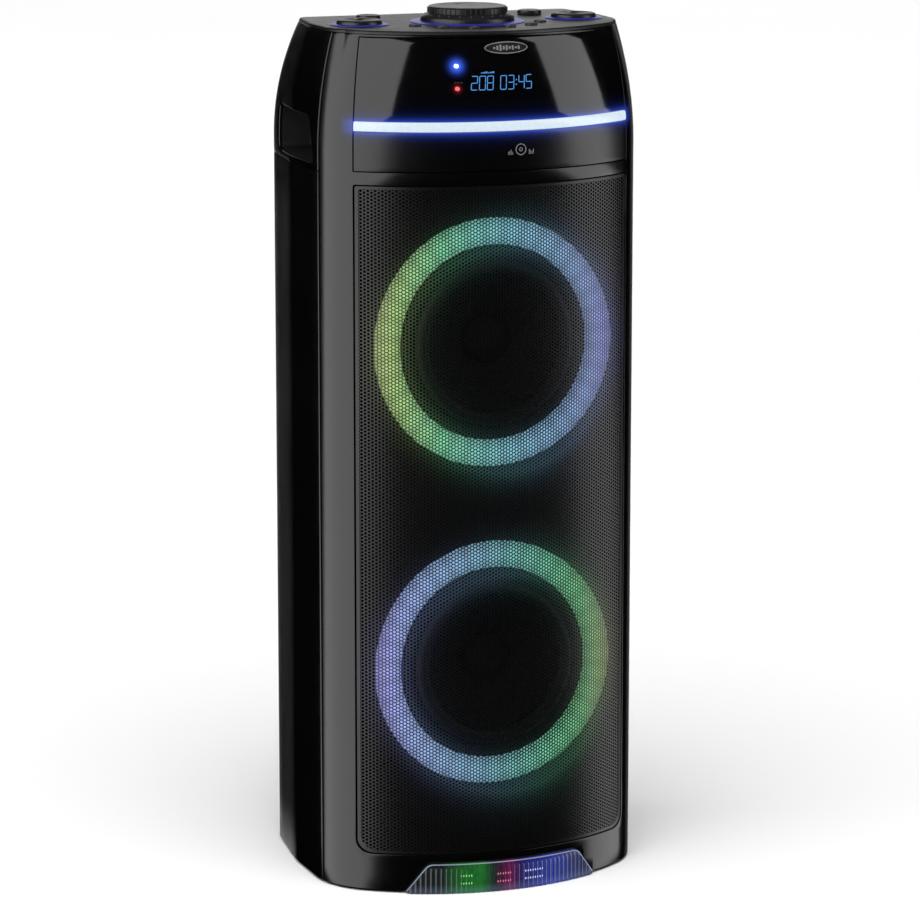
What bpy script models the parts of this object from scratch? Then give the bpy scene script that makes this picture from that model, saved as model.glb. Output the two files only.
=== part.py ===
# Tower party speaker: a glossy wrap-round fascia, two 8-inch woofers with light rings behind
# one curved grille, a disc drawer, a display panel and a control deck with jog pads.
# Metres, +Z up, front towards -Y.  The origin is on the floor, at the middle of the footprint.

import bpy
import bmesh
from math import acos
from math import asin
from math import cos
from math import pi
from math import radians
from math import sin
from math import tan
from mathutils import Vector

# Plan outline.  "Back" is measured from the foremost point of the fascia.
ORIGIN_BACK = 0.145
FRONT_RADIUS = 0.256
FRONT_HALF_WIDTH = 0.152
CORNER_HALF_WIDTH = 0.1862
CORNER_END_TURN = 88.0
WIDEST_X = 0.1875
WIDEST_BACK = 0.182
REAR_BACK = 0.290
REAR_CORNER_X = 0.164
REAR_CORNER_RADIUS = 0.012
FASCIA_BACK = 0.097

# Heights
FASCIA_BOTTOM = 0.003
LENS_TOP = 0.0345
GRILLE_BOTTOM = 0.044
GRILLE_TOP = 0.7891
HOUSING_SPLIT = 0.800
DRAWER_BOTTOM = 0.8035
BAR_BOTTOM = 0.8467
BAR_TOP = 0.8573
PANEL_TOP = 0.9465
RIM_TOP = 0.9495
DECK_TOP = 0.9533
TAPER_START = 0.820
TAPER_RATE = 1.317
SIDE_LEAN = 0.8
REAR_LEAN = 2.0

# Walls and gaps
GAP = 0.0003
SEAM = 0.0008
SHELL_SEAM = 0.0009
FASCIA_WALL = 0.003
CABINET_WALL = 0.004
HOUSING_WALL = 0.0035
GRILLE_SHEET = 0.001
LENS_PROUD = 0.0035

# Front
OPENING_HALF_WIDTH = 0.1585
GRILLE_CORNER = 0.015
LENS_HALF_BOTTOM = 0.110
LENS_HALF_TOP = 0.088
LENS_CORNER = 0.011
LENS_SHOULDER = 0.004
LENS_STRIP_HEIGHTS = (0.0140, 0.0280)
BASE_HEIGHTS = (0.0050, 0.0130)
FOOT_RADIUS = 0.013
FOOT_PLACES = {"front_left": (-0.125, 0.085), "front_right": (0.125, 0.085),
               "rear_left": (-0.140, 0.250), "rear_right": (0.140, 0.250)}
LAMP_X = -0.055
LINK_LAMP_HEIGHT = 0.917
STANDBY_LAMP_HEIGHT = 0.893
LAMP_RADIUS = 0.0021
BADGE_HEIGHT = 0.9356
BADGE_HALF_LENGTH = 0.0255
BADGE_HALF_HEIGHT = 0.0065

# Drivers
WOOFER_HEIGHTS = {"upper": 0.6096, "lower": 0.2496}
RING_OUTER = 0.1375
RING_INNER = 0.1085
RING_FRONT_BACK = 0.0435
BAFFLE_BACK = 0.050
BAFFLE_THICKNESS = 0.012
BAFFLE_HALF_WIDTH = 0.1455
FLANGE_BACK = 0.0455
FLANGE_RADIUS = 0.104
CAN_RADIUS = 0.0945
CONE_RADIUS = 0.0753

# Disc drawer
TRAY_HALF_WIDTH = 0.073
TRAY_BOTTOM = 0.812
TRAY_TOP = 0.822
TRAY_REAR_BACK = 0.162
DISC_BACK = 0.086
DISC_RADIUS = 0.063
CHASSIS_HALF_WIDTH = 0.082

# Control deck
KNOB_BACK = 0.130
HALO_RADIUS = 0.063
FLANGE_KNOB_RADIUS = 0.0515
PAD_X = 0.125
PAD_RADIUS = 0.0248
PAD_HALO_RADIUS = 0.032
SMALL_KNOB_X = 0.095
SMALL_KNOB_BACK = 0.188
SMALL_KNOB_RADIUS = 0.0135
BUTTON_ORBIT = 0.080
BUTTON_RADIUS = 0.0068
BUTTON_NAMES = ("power_button", "mode_button", "skip_back_button",
                "skip_forward_button", "play_button", "lights_button")
BUTTON_BEARINGS = (-155, -130, -105, -75, -50, -25)

# Rear
PLATE_HALF_WIDTH = 0.075
PLATE_BOTTOM = 0.570
PLATE_TOP = 0.750
PLATE_THICKNESS = 0.0032
PORT_HEIGHT = 0.430
PORT_RADIUS = 0.034
JACK_HEIGHT = 0.715
JACK_X = 0.022
AUX_X = 0.055
INLET_HEIGHT = 0.605
INLET_X = -0.040
ROCKER_X = 0.035

# Handles
HANDLE_REAR_BACK = 0.250
HANDLE_FRONT_BACK = 0.107
HANDLE_LEAN = 0.018
HANDLE_BOTTOM = 0.807
HANDLE_TOP = 0.858
CUP_WALL = 0.0025
CUP_FLOOR_X = 0.140

FRONT_TURN = asin(FRONT_HALF_WIDTH / FRONT_RADIUS)
CORNER_BACK = FRONT_RADIUS * (1 - cos(FRONT_TURN))
CORNER_RADIUS = ((CORNER_HALF_WIDTH - FRONT_HALF_WIDTH)
                 / (sin(radians(CORNER_END_TURN)) - sin(FRONT_TURN)))
CORNER_END_BACK = CORNER_BACK + CORNER_RADIUS * (cos(FRONT_TURN) - cos(radians(CORNER_END_TURN)))
FASCIA_TURN = acos(cos(FRONT_TURN) - (FASCIA_BACK - CORNER_BACK) / CORNER_RADIUS)
OPENING_TURN = asin(sin(FRONT_TURN) + (OPENING_HALF_WIDTH - FRONT_HALF_WIDTH) / CORNER_RADIUS)
INSERT_TURN = OPENING_TURN - SEAM / CORNER_RADIUS


# --- scene, materials and collections

def clear_scene():
    for old in list(bpy.data.objects):
        bpy.data.objects.remove(old, do_unlink=True)


def new_collection(name):
    collection = bpy.data.collections.new(name)
    bpy.context.scene.collection.children.link(collection)
    return collection


def new_material(name, colour, roughness, metallic=0.0):
    material = bpy.data.materials.new(name)
    material.use_nodes = True
    shader = material.node_tree.nodes["Principled BSDF"]
    shader.inputs["Base Color"].default_value = (*colour, 1.0)
    shader.inputs["Roughness"].default_value = roughness
    shader.inputs["Metallic"].default_value = metallic
    material.diffuse_color = (*colour, 1.0)
    return material


clear_scene()
speaker = new_collection("party_speaker")
cutters = new_collection("cutters")

finish = {
    "gloss": new_material("gloss_black", (0.010, 0.010, 0.012), 0.08),
    "satin": new_material("satin_black", (0.020, 0.020, 0.022), 0.42),
    "cabinet": new_material("cabinet_black", (0.016, 0.016, 0.018), 0.30),
    "grille": new_material("grille_steel", (0.030, 0.030, 0.032), 0.38, 0.6),
    "glow_ring": new_material("glow_ring", (0.25, 0.85, 0.80), 0.35),
    "glow_white": new_material("glow_white", (0.80, 0.86, 1.00), 0.30),
    "glow_blue": new_material("glow_blue", (0.08, 0.14, 1.00), 0.30),
    "glow_red": new_material("glow_red", (0.90, 0.05, 0.06), 0.30),
    "clear": new_material("clear_lens", (0.75, 0.80, 0.85), 0.10),
    "rubber": new_material("rubber_black", (0.018, 0.018, 0.018), 0.75),
    "paper": new_material("cone_paper", (0.035, 0.035, 0.037), 0.80),
    "board": new_material("board_fibre", (0.24, 0.17, 0.10), 0.75),
    "circuit": new_material("circuit_green", (0.02, 0.16, 0.07), 0.45),
    "steel": new_material("plain_steel", (0.50, 0.51, 0.52), 0.35, 1.0),
    "badge": new_material("badge_silver", (0.60, 0.61, 0.63), 0.25, 1.0),
}


# --- shape helpers

def add_object(name, mesh, material, home=speaker):
    piece = bpy.data.objects.new(name, mesh)
    home.objects.link(piece)
    if material is not None:
        mesh.materials.append(finish[material])
    if home is cutters:
        piece.hide_render = True
        piece.display_type = "WIRE"
    return piece


def mesh_from(name, points, faces, edges=()):
    mesh = bpy.data.meshes.new(name)
    mesh.from_pydata(points, edges, faces)
    mesh.update()
    return mesh


def smooth(mesh, limit=35):
    mesh.shade_smooth()
    mesh.set_sharp_from_angle(angle=radians(limit))


def box(name, low, high, material, home=speaker):
    size = Vector(high) - Vector(low)
    shape = bmesh.new()
    bmesh.ops.create_cube(shape, size=1.0)
    bmesh.ops.scale(shape, vec=size, verts=shape.verts)
    mesh = bpy.data.meshes.new(name)
    shape.to_mesh(mesh)
    shape.free()
    piece = add_object(name, mesh, material, home)
    piece.location = (Vector(low) + Vector(high)) / 2
    return piece


def drum(name, centre, radius, length, material, facing="up", sides=24, home=speaker):
    shape = bmesh.new()
    bmesh.ops.create_cone(shape, cap_ends=True, segments=sides, radius1=radius,
                          radius2=radius, depth=length)
    mesh = bpy.data.meshes.new(name)
    shape.to_mesh(mesh)
    shape.free()
    smooth(mesh)
    piece = add_object(name, mesh, material, home)
    piece.location = centre
    if facing == "front":
        piece.rotation_euler = (pi / 2, 0, 0)
    return piece


def turned(name, profile, centre, material, facing="up", steps=32, closed=True):
    """Turn a profile of (radius, height) points about the piece's own Z axis."""
    points = [(radius, 0, height) for radius, height in profile]
    edges = [(i, i + 1) for i in range(len(points) - 1)]
    if closed:
        edges.append((len(points) - 1, 0))
    piece = add_object(name, mesh_from(name, points, [], edges), material)
    screw = piece.modifiers.new("turn", "SCREW")
    screw.steps = steps
    screw.render_steps = steps
    screw.use_merge_vertices = True
    screw.merge_threshold = 0.00005
    screw.use_smooth_shade = True
    piece.location = centre
    if facing == "front":
        piece.rotation_euler = (pi / 2, 0, 0)
    if facing == "rear":
        piece.rotation_euler = (-pi / 2, 0, 0)
    return piece


def combine(piece, other, operation):
    modifier = piece.modifiers.new(operation.lower(), "BOOLEAN")
    modifier.operation = operation
    modifier.solver = "EXACT"
    modifier.object = other


def rounded(corners, radii, steps=5):
    """Round each corner of a polygon of (u, v) corners with an arc."""
    outline = []
    count = len(corners)
    for i, radius in enumerate(radii):
        here = Vector(corners[i])
        before = (Vector(corners[i - 1]) - here).normalized()
        after = (Vector(corners[(i + 1) % count]) - here).normalized()
        if radius == 0:
            outline.append(tuple(here))
            continue
        half = before.angle(after) / 2
        reach = radius / tan(half)
        centre = here + (before + after).normalized() * (radius / sin(half))
        start = here + before * reach - centre
        stop = here + after * reach - centre
        for step in range(steps + 1):
            share = step / steps
            ray = start.slerp(stop, share).normalized()
            outline.append(tuple(centre + ray * radius))
    return outline


def prism(name, outline, near, far, along="Y", material=None, home=cutters):
    """A flat outline made solid: (x, z) points run along Y, (y, z) points run along X."""
    curve = bpy.data.curves.new(name, "CURVE")
    curve.dimensions = "2D"
    curve.fill_mode = "BOTH"
    curve.extrude = (far - near) / 2
    spline = curve.splines.new("POLY")
    spline.points.add(len(outline) - 1)
    for point, (u, v) in zip(spline.points, outline):
        point.co = (u, v, 0, 1)
    spline.use_cyclic_u = True
    guide = bpy.data.objects.new(name + "_outline", curve)
    home.objects.link(guide)
    middle = (near + far) / 2
    if along == "Y":
        guide.rotation_euler = (pi / 2, 0, 0)
        guide.location = (0, middle, 0)
    else:
        guide.rotation_euler = (pi / 2, 0, pi / 2)
        guide.location = (middle, 0, 0)
    bpy.context.view_layer.update()
    evaluated = guide.evaluated_get(bpy.context.evaluated_depsgraph_get())
    mesh = bpy.data.meshes.new_from_object(evaluated)
    shape = bmesh.new()
    shape.from_mesh(mesh)
    bmesh.ops.remove_doubles(shape, verts=shape.verts, dist=0.00001)
    bmesh.ops.recalc_face_normals(shape, faces=shape.faces)
    shape.to_mesh(mesh)
    shape.free()
    mesh.materials.clear()
    piece = add_object(name, mesh, material, home)
    piece.matrix_world = guide.matrix_world.copy()
    bpy.data.objects.remove(guide, do_unlink=True)
    return piece


# --- the body's outer form: stations round the plan, drawn in towards the top

def to_y(back):
    return back - ORIGIN_BACK


def front_station(turn):
    """A plan point on the front, given the angle its normal turns from straight ahead."""
    side = 1 if turn >= 0 else -1
    swing = abs(turn)
    if swing <= FRONT_TURN:
        x = FRONT_RADIUS * sin(swing)
        back = FRONT_RADIUS * (1 - cos(swing))
    else:
        x = FRONT_HALF_WIDTH + CORNER_RADIUS * (sin(swing) - sin(FRONT_TURN))
        back = CORNER_BACK + CORNER_RADIUS * (cos(FRONT_TURN) - cos(swing))
    return (side * x, back, turn)


def front_stations(limit, arc_steps=10, corner_steps=4):
    arc_limit = min(limit, FRONT_TURN)
    turns = [arc_limit * i / arc_steps for i in range(arc_steps + 1)]
    if limit > FRONT_TURN:
        extra = limit - FRONT_TURN
        turns += [FRONT_TURN + extra * i / corner_steps for i in range(1, corner_steps + 1)]
    return [front_station(-turn) for turn in reversed(turns[1:])] + [front_station(t) for t in turns]


def side_stations(start, steps=3):
    """Right side from the given turn, round the rear facet, to the middle of the back."""
    end = radians(CORNER_END_TURN)
    stations = [front_station(start + (end - start) * i / steps) for i in range(steps + 1)]
    facet_turn = radians(97.2)
    stations.append((WIDEST_X, WIDEST_BACK, radians(93)))
    for i in range(4):
        turn = facet_turn + (pi - facet_turn) * i / 3
        x = REAR_CORNER_X + REAR_CORNER_RADIUS * sin(turn)
        back = REAR_BACK - REAR_CORNER_RADIUS - REAR_CORNER_RADIUS * cos(turn)
        stations.append((x, back, turn))
    stations.append((REAR_CORNER_X / 2, REAR_BACK, pi))
    return stations


def rear_stations(start):
    right = side_stations(start)
    left = [(-x, back, -turn) for x, back, turn in reversed(right)]
    return right + [(0, REAR_BACK, pi)] + left


def front_lean(swing):
    """Share of the lean taken by the front: half at the middle, all of it at the corners."""
    corner = radians(60)
    if swing < corner:
        return 0.5 + 0.5 * swing / corner
    return 1.0 - (1.0 - SIDE_LEAN) * (swing - corner) / (radians(CORNER_END_TURN) - corner)


def on_skin(station, height, inset):
    """A point on the skin: the plan station drawn in towards the top, then moved in by inset."""
    x, back, turn = station
    lean = TAPER_RATE * max(0.0, height - TAPER_START) ** 2
    if abs(turn) <= radians(CORNER_END_TURN):
        depth = front_lean(abs(turn)) * lean
        x -= sin(turn) * depth
        back += cos(turn) * depth
    else:
        share = (back - CORNER_END_BACK) / (REAR_BACK - CORNER_END_BACK)
        x *= 1 - SIDE_LEAN * lean / CORNER_HALF_WIDTH
        back -= REAR_LEAN * lean * share
    return Vector((x - sin(turn) * inset, to_y(back) + cos(turn) * inset, height))


def sheet(name, stations, heights, inset, wall, material, window=None, home=speaker):
    """A wall that follows the outer form, with level rims.  It is a loft between the skin and
    the same skin moved in by the wall; window is a height and turn span that is left open."""
    outer = [on_skin(station, height, inset) for height in heights for station in stations]
    inner = [on_skin(station, height, inset + wall) for height in heights for station in stations]
    across = len(stations)
    shift = len(outer)
    skin = []
    for row in range(len(heights) - 1):
        middle = (heights[row] + heights[row + 1]) / 2
        for i in range(across - 1):
            turn = (stations[i][2] + stations[i + 1][2]) / 2
            if window and window[0] < middle < window[1] and abs(turn) < window[2]:
                continue
            corner = row * across + i
            skin.append((corner, corner + 1, corner + across + 1, corner + across))
    faces = skin + [tuple(i + shift for i in reversed(face)) for face in skin]
    sides = [(face[i], face[(i + 1) % 4]) for face in skin for i in range(4)]
    shared = set(sides)
    rims = [(start, stop) for start, stop in sides if (stop, start) not in shared]
    faces += [(stop, start, start + shift, stop + shift) for start, stop in rims]
    mesh = mesh_from(name, outer + inner, faces)
    loose = bmesh.new()
    loose.from_mesh(mesh)
    bmesh.ops.delete(loose, geom=[v for v in loose.verts if not v.link_faces], context="VERTS")
    loose.to_mesh(mesh)
    loose.free()
    smooth(mesh)
    return add_object(name, mesh, material, home)


def block(name, heights, inset, material, home=speaker):
    """The whole plan outline as one solid between the first and last heights."""
    full = front_stations(FASCIA_TURN) + rear_stations(FASCIA_TURN)[1:-1]
    count = len(full)
    points = [on_skin(station, height, inset) for height in heights for station in full]
    faces = [tuple(reversed(range(count)))]
    for row in range(len(heights) - 1):
        for i in range(count):
            low = row * count + i
            low_next = row * count + (i + 1) % count
            faces.append((low, low_next, low_next + count, low + count))
    top = (len(heights) - 1) * count
    faces.append(tuple(range(top, top + count)))
    mesh = mesh_from(name, points, faces)
    return add_object(name, mesh, material, home)


def even_heights(low, high, steps):
    return [low + (high - low) * i / steps for i in range(steps + 1)]


# --- body shells

def lens_outline(grow):
    half_bottom = LENS_HALF_BOTTOM + grow
    half_top = LENS_HALF_TOP + grow
    top = LENS_TOP + grow
    corners = [(-half_bottom, -0.010), (half_bottom, -0.010), (half_bottom, LENS_SHOULDER),
               (half_top, top), (-half_top, top), (-half_bottom, LENS_SHOULDER)]
    return rounded(corners, [0, 0, 0, LENS_CORNER, LENS_CORNER, 0])


def grille_outline(shrink):
    half = OPENING_HALF_WIDTH - shrink
    corners = [(-half, GRILLE_BOTTOM + shrink), (half, GRILLE_BOTTOM + shrink),
               (half, GRILLE_TOP - shrink), (-half, GRILLE_TOP - shrink)]
    return rounded(corners, [GRILLE_CORNER, GRILLE_CORNER, 0.002, 0.002], steps=4)


def make_fascia():
    turns = front_stations(OPENING_TURN, corner_steps=1)
    edge = [front_station(OPENING_TURN + (FASCIA_TURN - OPENING_TURN) * i / 4) for i in range(1, 5)]
    edge_left = [(-x, back, -turn) for x, back, turn in reversed(edge)]
    heights = [FASCIA_BOTTOM, GRILLE_TOP + 0.006, DRAWER_BOTTOM - SEAM / 2, TAPER_START]
    heights += even_heights(0.840, 0.925, 4) + [PANEL_TOP + SEAM / 2, RIM_TOP]
    window = (DRAWER_BOTTOM - SEAM / 2, PANEL_TOP + SEAM / 2, OPENING_TURN)
    fascia = sheet("front_fascia", edge_left + turns + edge, heights, 0, FASCIA_WALL, "gloss", window)
    combine(fascia, prism("grille_window", grille_outline(0), to_y(-0.02), to_y(0.068)), "DIFFERENCE")
    combine(fascia, prism("lens_window", lens_outline(0.0004), to_y(-0.02), to_y(0.040)), "DIFFERENCE")


def make_cabinet():
    start = FASCIA_TURN + SHELL_SEAM / CORNER_RADIUS
    body = sheet("cabinet_body", rear_stations(start), [FASCIA_BOTTOM, HOUSING_SPLIT - GAP],
                 0, CABINET_WALL, "cabinet")
    window = rounded([(-0.066, PLATE_BOTTOM + 0.009), (0.066, PLATE_BOTTOM + 0.009),
                      (0.066, PLATE_TOP - 0.009), (-0.066, PLATE_TOP - 0.009)], [0.004] * 4, steps=2)
    combine(body, prism("plate_window", window, to_y(0.270), to_y(0.310)), "DIFFERENCE")
    port_hole = drum("port_hole", (0, to_y(REAR_BACK), PORT_HEIGHT), PORT_RADIUS + 0.0043, 0.04,
                     None, "front", home=cutters)
    combine(body, port_hole, "DIFFERENCE")


def handle_outline(grow):
    corners = [(to_y(HANDLE_FRONT_BACK) - grow, HANDLE_BOTTOM - grow),
               (to_y(HANDLE_REAR_BACK) + grow, HANDLE_BOTTOM - grow),
               (to_y(HANDLE_REAR_BACK) + grow, HANDLE_TOP + grow),
               (to_y(HANDLE_FRONT_BACK) + HANDLE_LEAN - grow, HANDLE_TOP + grow)]
    return rounded(corners, [0.006, 0.008, 0.008, 0.016], steps=3)


def make_housing():
    start = FASCIA_TURN + SHELL_SEAM / CORNER_RADIUS
    heights = [HOUSING_SPLIT, TAPER_START] + even_heights(0.845, RIM_TOP, 5)
    housing = sheet("upper_housing", rear_stations(start), heights, 0, HOUSING_WALL, "cabinet")
    for side, name in ((-1, "left"), (1, "right")):
        near, far = sorted((side * (CUP_FLOOR_X + CUP_WALL), side * 0.200))
        cavity = prism("handle_cavity_" + name, handle_outline(0), near, far, "X")
        combine(housing, cavity, "DIFFERENCE")
        inside = block("housing_inside_" + name, [0.800, 0.835, 0.870], HOUSING_WALL + GAP, None, cutters)
        near, far = sorted((side * CUP_FLOOR_X, side * 0.200))
        cup = prism("handle_cup_" + name, handle_outline(CUP_WALL), near, far, "X", "satin", speaker)
        combine(cup, inside, "INTERSECT")
        combine(cup, cavity, "DIFFERENCE")


def make_base():
    base = block("base_plate", BASE_HEIGHTS, CABINET_WALL + GAP, "satin")
    pocket = sheet("lens_pocket", front_stations(radians(27), 8), [-0.01, 0.05], -0.004, 0.0175,
                   None, home=cutters)
    combine(base, pocket, "DIFFERENCE")
    profile = [(0, 0.0047), (FOOT_RADIUS, 0.0047), (FOOT_RADIUS, 0.001), (FOOT_RADIUS - 0.001, 0), (0, 0)]
    for name, (x, back) in FOOT_PLACES.items():
        turned("foot_" + name, profile, (x, to_y(back), 0), "rubber", steps=16, closed=False)


def make_floor_lens():
    lens = sheet("floor_lens", front_stations(radians(26), 12), [0.0012, LENS_TOP + 0.002],
                 -LENS_PROUD, 0.0125, "clear")
    combine(lens, prism("lens_shape", lens_outline(0), to_y(-0.02), to_y(0.05)), "INTERSECT")
    sheet("lens_light_strip", front_stations(radians(20), 6), LENS_STRIP_HEIGHTS, 0.0100, 0.002, "circuit")


# --- front inserts

def make_inserts():
    inserts = front_stations(INSERT_TURN, corner_steps=1)
    panel_heights = [BAR_TOP + GAP, 0.880, 0.903, 0.925, PANEL_TOP - SEAM / 2]
    panel = sheet("display_panel", inserts, panel_heights, GAP, 0.0025, "gloss")
    lamps = (("link_lamp", LINK_LAMP_HEIGHT, "glow_blue"), ("standby_lamp", STANDBY_LAMP_HEIGHT, "glow_red"))
    for name, height, colour in lamps:
        front = on_skin(front_station(asin(LAMP_X / FRONT_RADIUS)), height, 0)
        centre = (LAMP_X, front.y + 0.0055, height)
        hole = drum(name + "_hole", centre, LAMP_RADIUS + 0.0005, 0.024, None, "front", 16, cutters)
        combine(panel, hole, "DIFFERENCE")
        drum(name, centre, LAMP_RADIUS, 0.012, colour, "front", 16)
    sheet("light_bar", inserts, [BAR_BOTTOM + GAP, BAR_TOP - GAP], -0.001, 0.0055, "glow_white")
    badge = sheet("badge_plate", front_stations(radians(6.5), 3), [0.926, 0.9356, 0.945],
                  -0.0013, 0.0010, "badge")
    rim = [(BADGE_HALF_LENGTH * cos(2 * pi * i / 28), BADGE_HEIGHT + BADGE_HALF_HEIGHT * sin(2 * pi * i / 28))
           for i in range(28)]
    combine(badge, prism("badge_shape", rim, to_y(-0.03), to_y(0.03)), "INTERSECT")
    box("display_module", (-0.045, to_y(0.0165), 0.884), (0.045, to_y(0.0275), 0.916), "circuit")


def make_drawer():
    inserts = front_stations(INSERT_TURN, corner_steps=1)
    heights = [DRAWER_BOTTOM + GAP, TAPER_START, BAR_BOTTOM - 0.0005]
    sheet("drawer_front", inserts, heights, GAP, FASCIA_WALL, "gloss")
    tray = box("disc_tray", (-TRAY_HALF_WIDTH, to_y(-0.01), TRAY_BOTTOM),
               (TRAY_HALF_WIDTH, to_y(TRAY_REAR_BACK), TRAY_TOP), "satin")
    combine(tray, block("tray_front_curve", [0.802, 0.830], 0.0036, None, cutters), "INTERSECT")
    recess = drum("disc_recess", (0, to_y(DISC_BACK), TRAY_TOP + 0.004), DISC_RADIUS, 0.020, None,
                  sides=40, home=cutters)
    combine(tray, recess, "DIFFERENCE")
    hub = drum("spindle_hole", (0, to_y(DISC_BACK), TRAY_TOP), 0.019, 0.06, None, home=cutters)
    combine(tray, hub, "DIFFERENCE")
    chassis = box("cd_chassis", (-CHASSIS_HALF_WIDTH, to_y(0.020), 0.8060),
                  (CHASSIS_HALF_WIDTH, to_y(0.200), 0.8345), "steel")
    slot = box("tray_slot", (-TRAY_HALF_WIDTH - 0.0015, to_y(-0.02), TRAY_BOTTOM - 0.0015),
               (TRAY_HALF_WIDTH + 0.0015, to_y(0.185), 0.8310), None, cutters)
    combine(chassis, slot, "DIFFERENCE")


def make_grille():
    half = OPENING_HALF_WIDTH - SEAM
    turn = asin(sin(FRONT_TURN) + (half + 0.001 - FRONT_HALF_WIDTH) / CORNER_RADIUS)
    grille = sheet("front_grille", front_stations(turn, 12, 1), [GRILLE_BOTTOM - 0.004, GRILLE_TOP + 0.004],
                   0.0006, GRILLE_SHEET, "grille")
    shape = prism("grille_shape", grille_outline(SEAM), to_y(-0.02), to_y(0.068))
    combine(grille, shape, "INTERSECT")


# --- drivers behind the grille

def surround_profile():
    """A half roll, open at the back, between the cone's rim and the basket."""
    middle = (CONE_RADIUS + CAN_RADIUS - 0.0017) / 2
    outer = (CAN_RADIUS - 0.0023 - CONE_RADIUS - GAP) / 2
    inner = outer - 0.0015
    arc = [pi * i / 4 for i in range(5)]
    over = [(middle - outer * cos(a), outer * sin(a)) for a in arc]
    under = [(middle + inner * cos(a), inner * sin(a)) for a in arc]
    return over + under


def make_drivers():
    baffle = box("baffle_board", (-BAFFLE_HALF_WIDTH, to_y(BAFFLE_BACK), 0.030),
                 (BAFFLE_HALF_WIDTH, to_y(BAFFLE_BACK + BAFFLE_THICKNESS), 0.788), "board")
    for name, height in WOOFER_HEIGHTS.items():
        hole = drum("baffle_hole_" + name, (0, to_y(BAFFLE_BACK), height), CAN_RADIUS + 0.001, 0.05,
                    None, "front", 32, cutters)
        combine(baffle, hole, "DIFFERENCE")
        ring_depth = BAFFLE_BACK - GAP - RING_FRONT_BACK
        ring = [(RING_OUTER, 0), (RING_OUTER, -ring_depth), (RING_INNER, -ring_depth), (RING_INNER, 0)]
        turned("light_ring_" + name, ring, (0, to_y(RING_FRONT_BACK), height), "glow_ring", "front", 32)
        centre = (0, to_y(FLANGE_BACK), height)
        rest = BAFFLE_BACK - GAP - FLANGE_BACK
        basket = [(FLANGE_RADIUS, 0), (FLANGE_RADIUS, -rest), (CAN_RADIUS, -rest), (CAN_RADIUS, -0.030),
                  (0.048, -0.076), (0.020, -0.076), (0.020, -0.073), (0.0465, -0.073),
                  (CAN_RADIUS - 0.002, -0.0285), (CAN_RADIUS - 0.002, 0)]
        turned("woofer_basket_" + name, basket, centre, "steel", "front", 20)
        turned("woofer_surround_" + name, surround_profile(), centre, "rubber", "front", 20)
        cone = [(CONE_RADIUS, -0.0005), (CONE_RADIUS, -0.0025), (0.022, -0.0330), (0.022, -0.0310)]
        turned("woofer_cone_" + name, cone, centre, "paper", "front", 20)
        cap = [(0, -0.0170), (0.012, -0.0190), (0.021, -0.0235), (0.0255, -0.0280),
               (0.0240, -0.0283), (0, -0.0190)]
        turned("dust_cap_" + name, cap, centre, "satin", "front", 20, closed=False)
        magnet = [(0, -0.0763), (0.053, -0.0763), (0.055, -0.0783), (0.055, -0.098),
                  (0.053, -0.100), (0, -0.100)]
        turned("woofer_magnet_" + name, magnet, centre, "steel", "front", 20, closed=False)


# --- control deck

def button_place(bearing):
    angle = radians(bearing)
    return (BUTTON_ORBIT * cos(angle), to_y(KNOB_BACK) + BUTTON_ORBIT * sin(angle))


def make_knob(name, x, back, profile, material, stem_hole, deck, steps):
    hole = drum(name + "_hole", (x, to_y(back), DECK_TOP), stem_hole, 0.02, None, sides=16, home=cutters)
    combine(deck, hole, "DIFFERENCE")
    turned(name, profile, (x, to_y(back), DECK_TOP), material, steps=steps, closed=False)


def make_halo(name, x, inner, outer):
    profile = [(inner, 0.0018), (outer - 0.001, 0.0018), (outer, GAP), (inner, GAP)]
    turned(name, profile, (x, to_y(KNOB_BACK), DECK_TOP), "glow_blue", steps=28)


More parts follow.
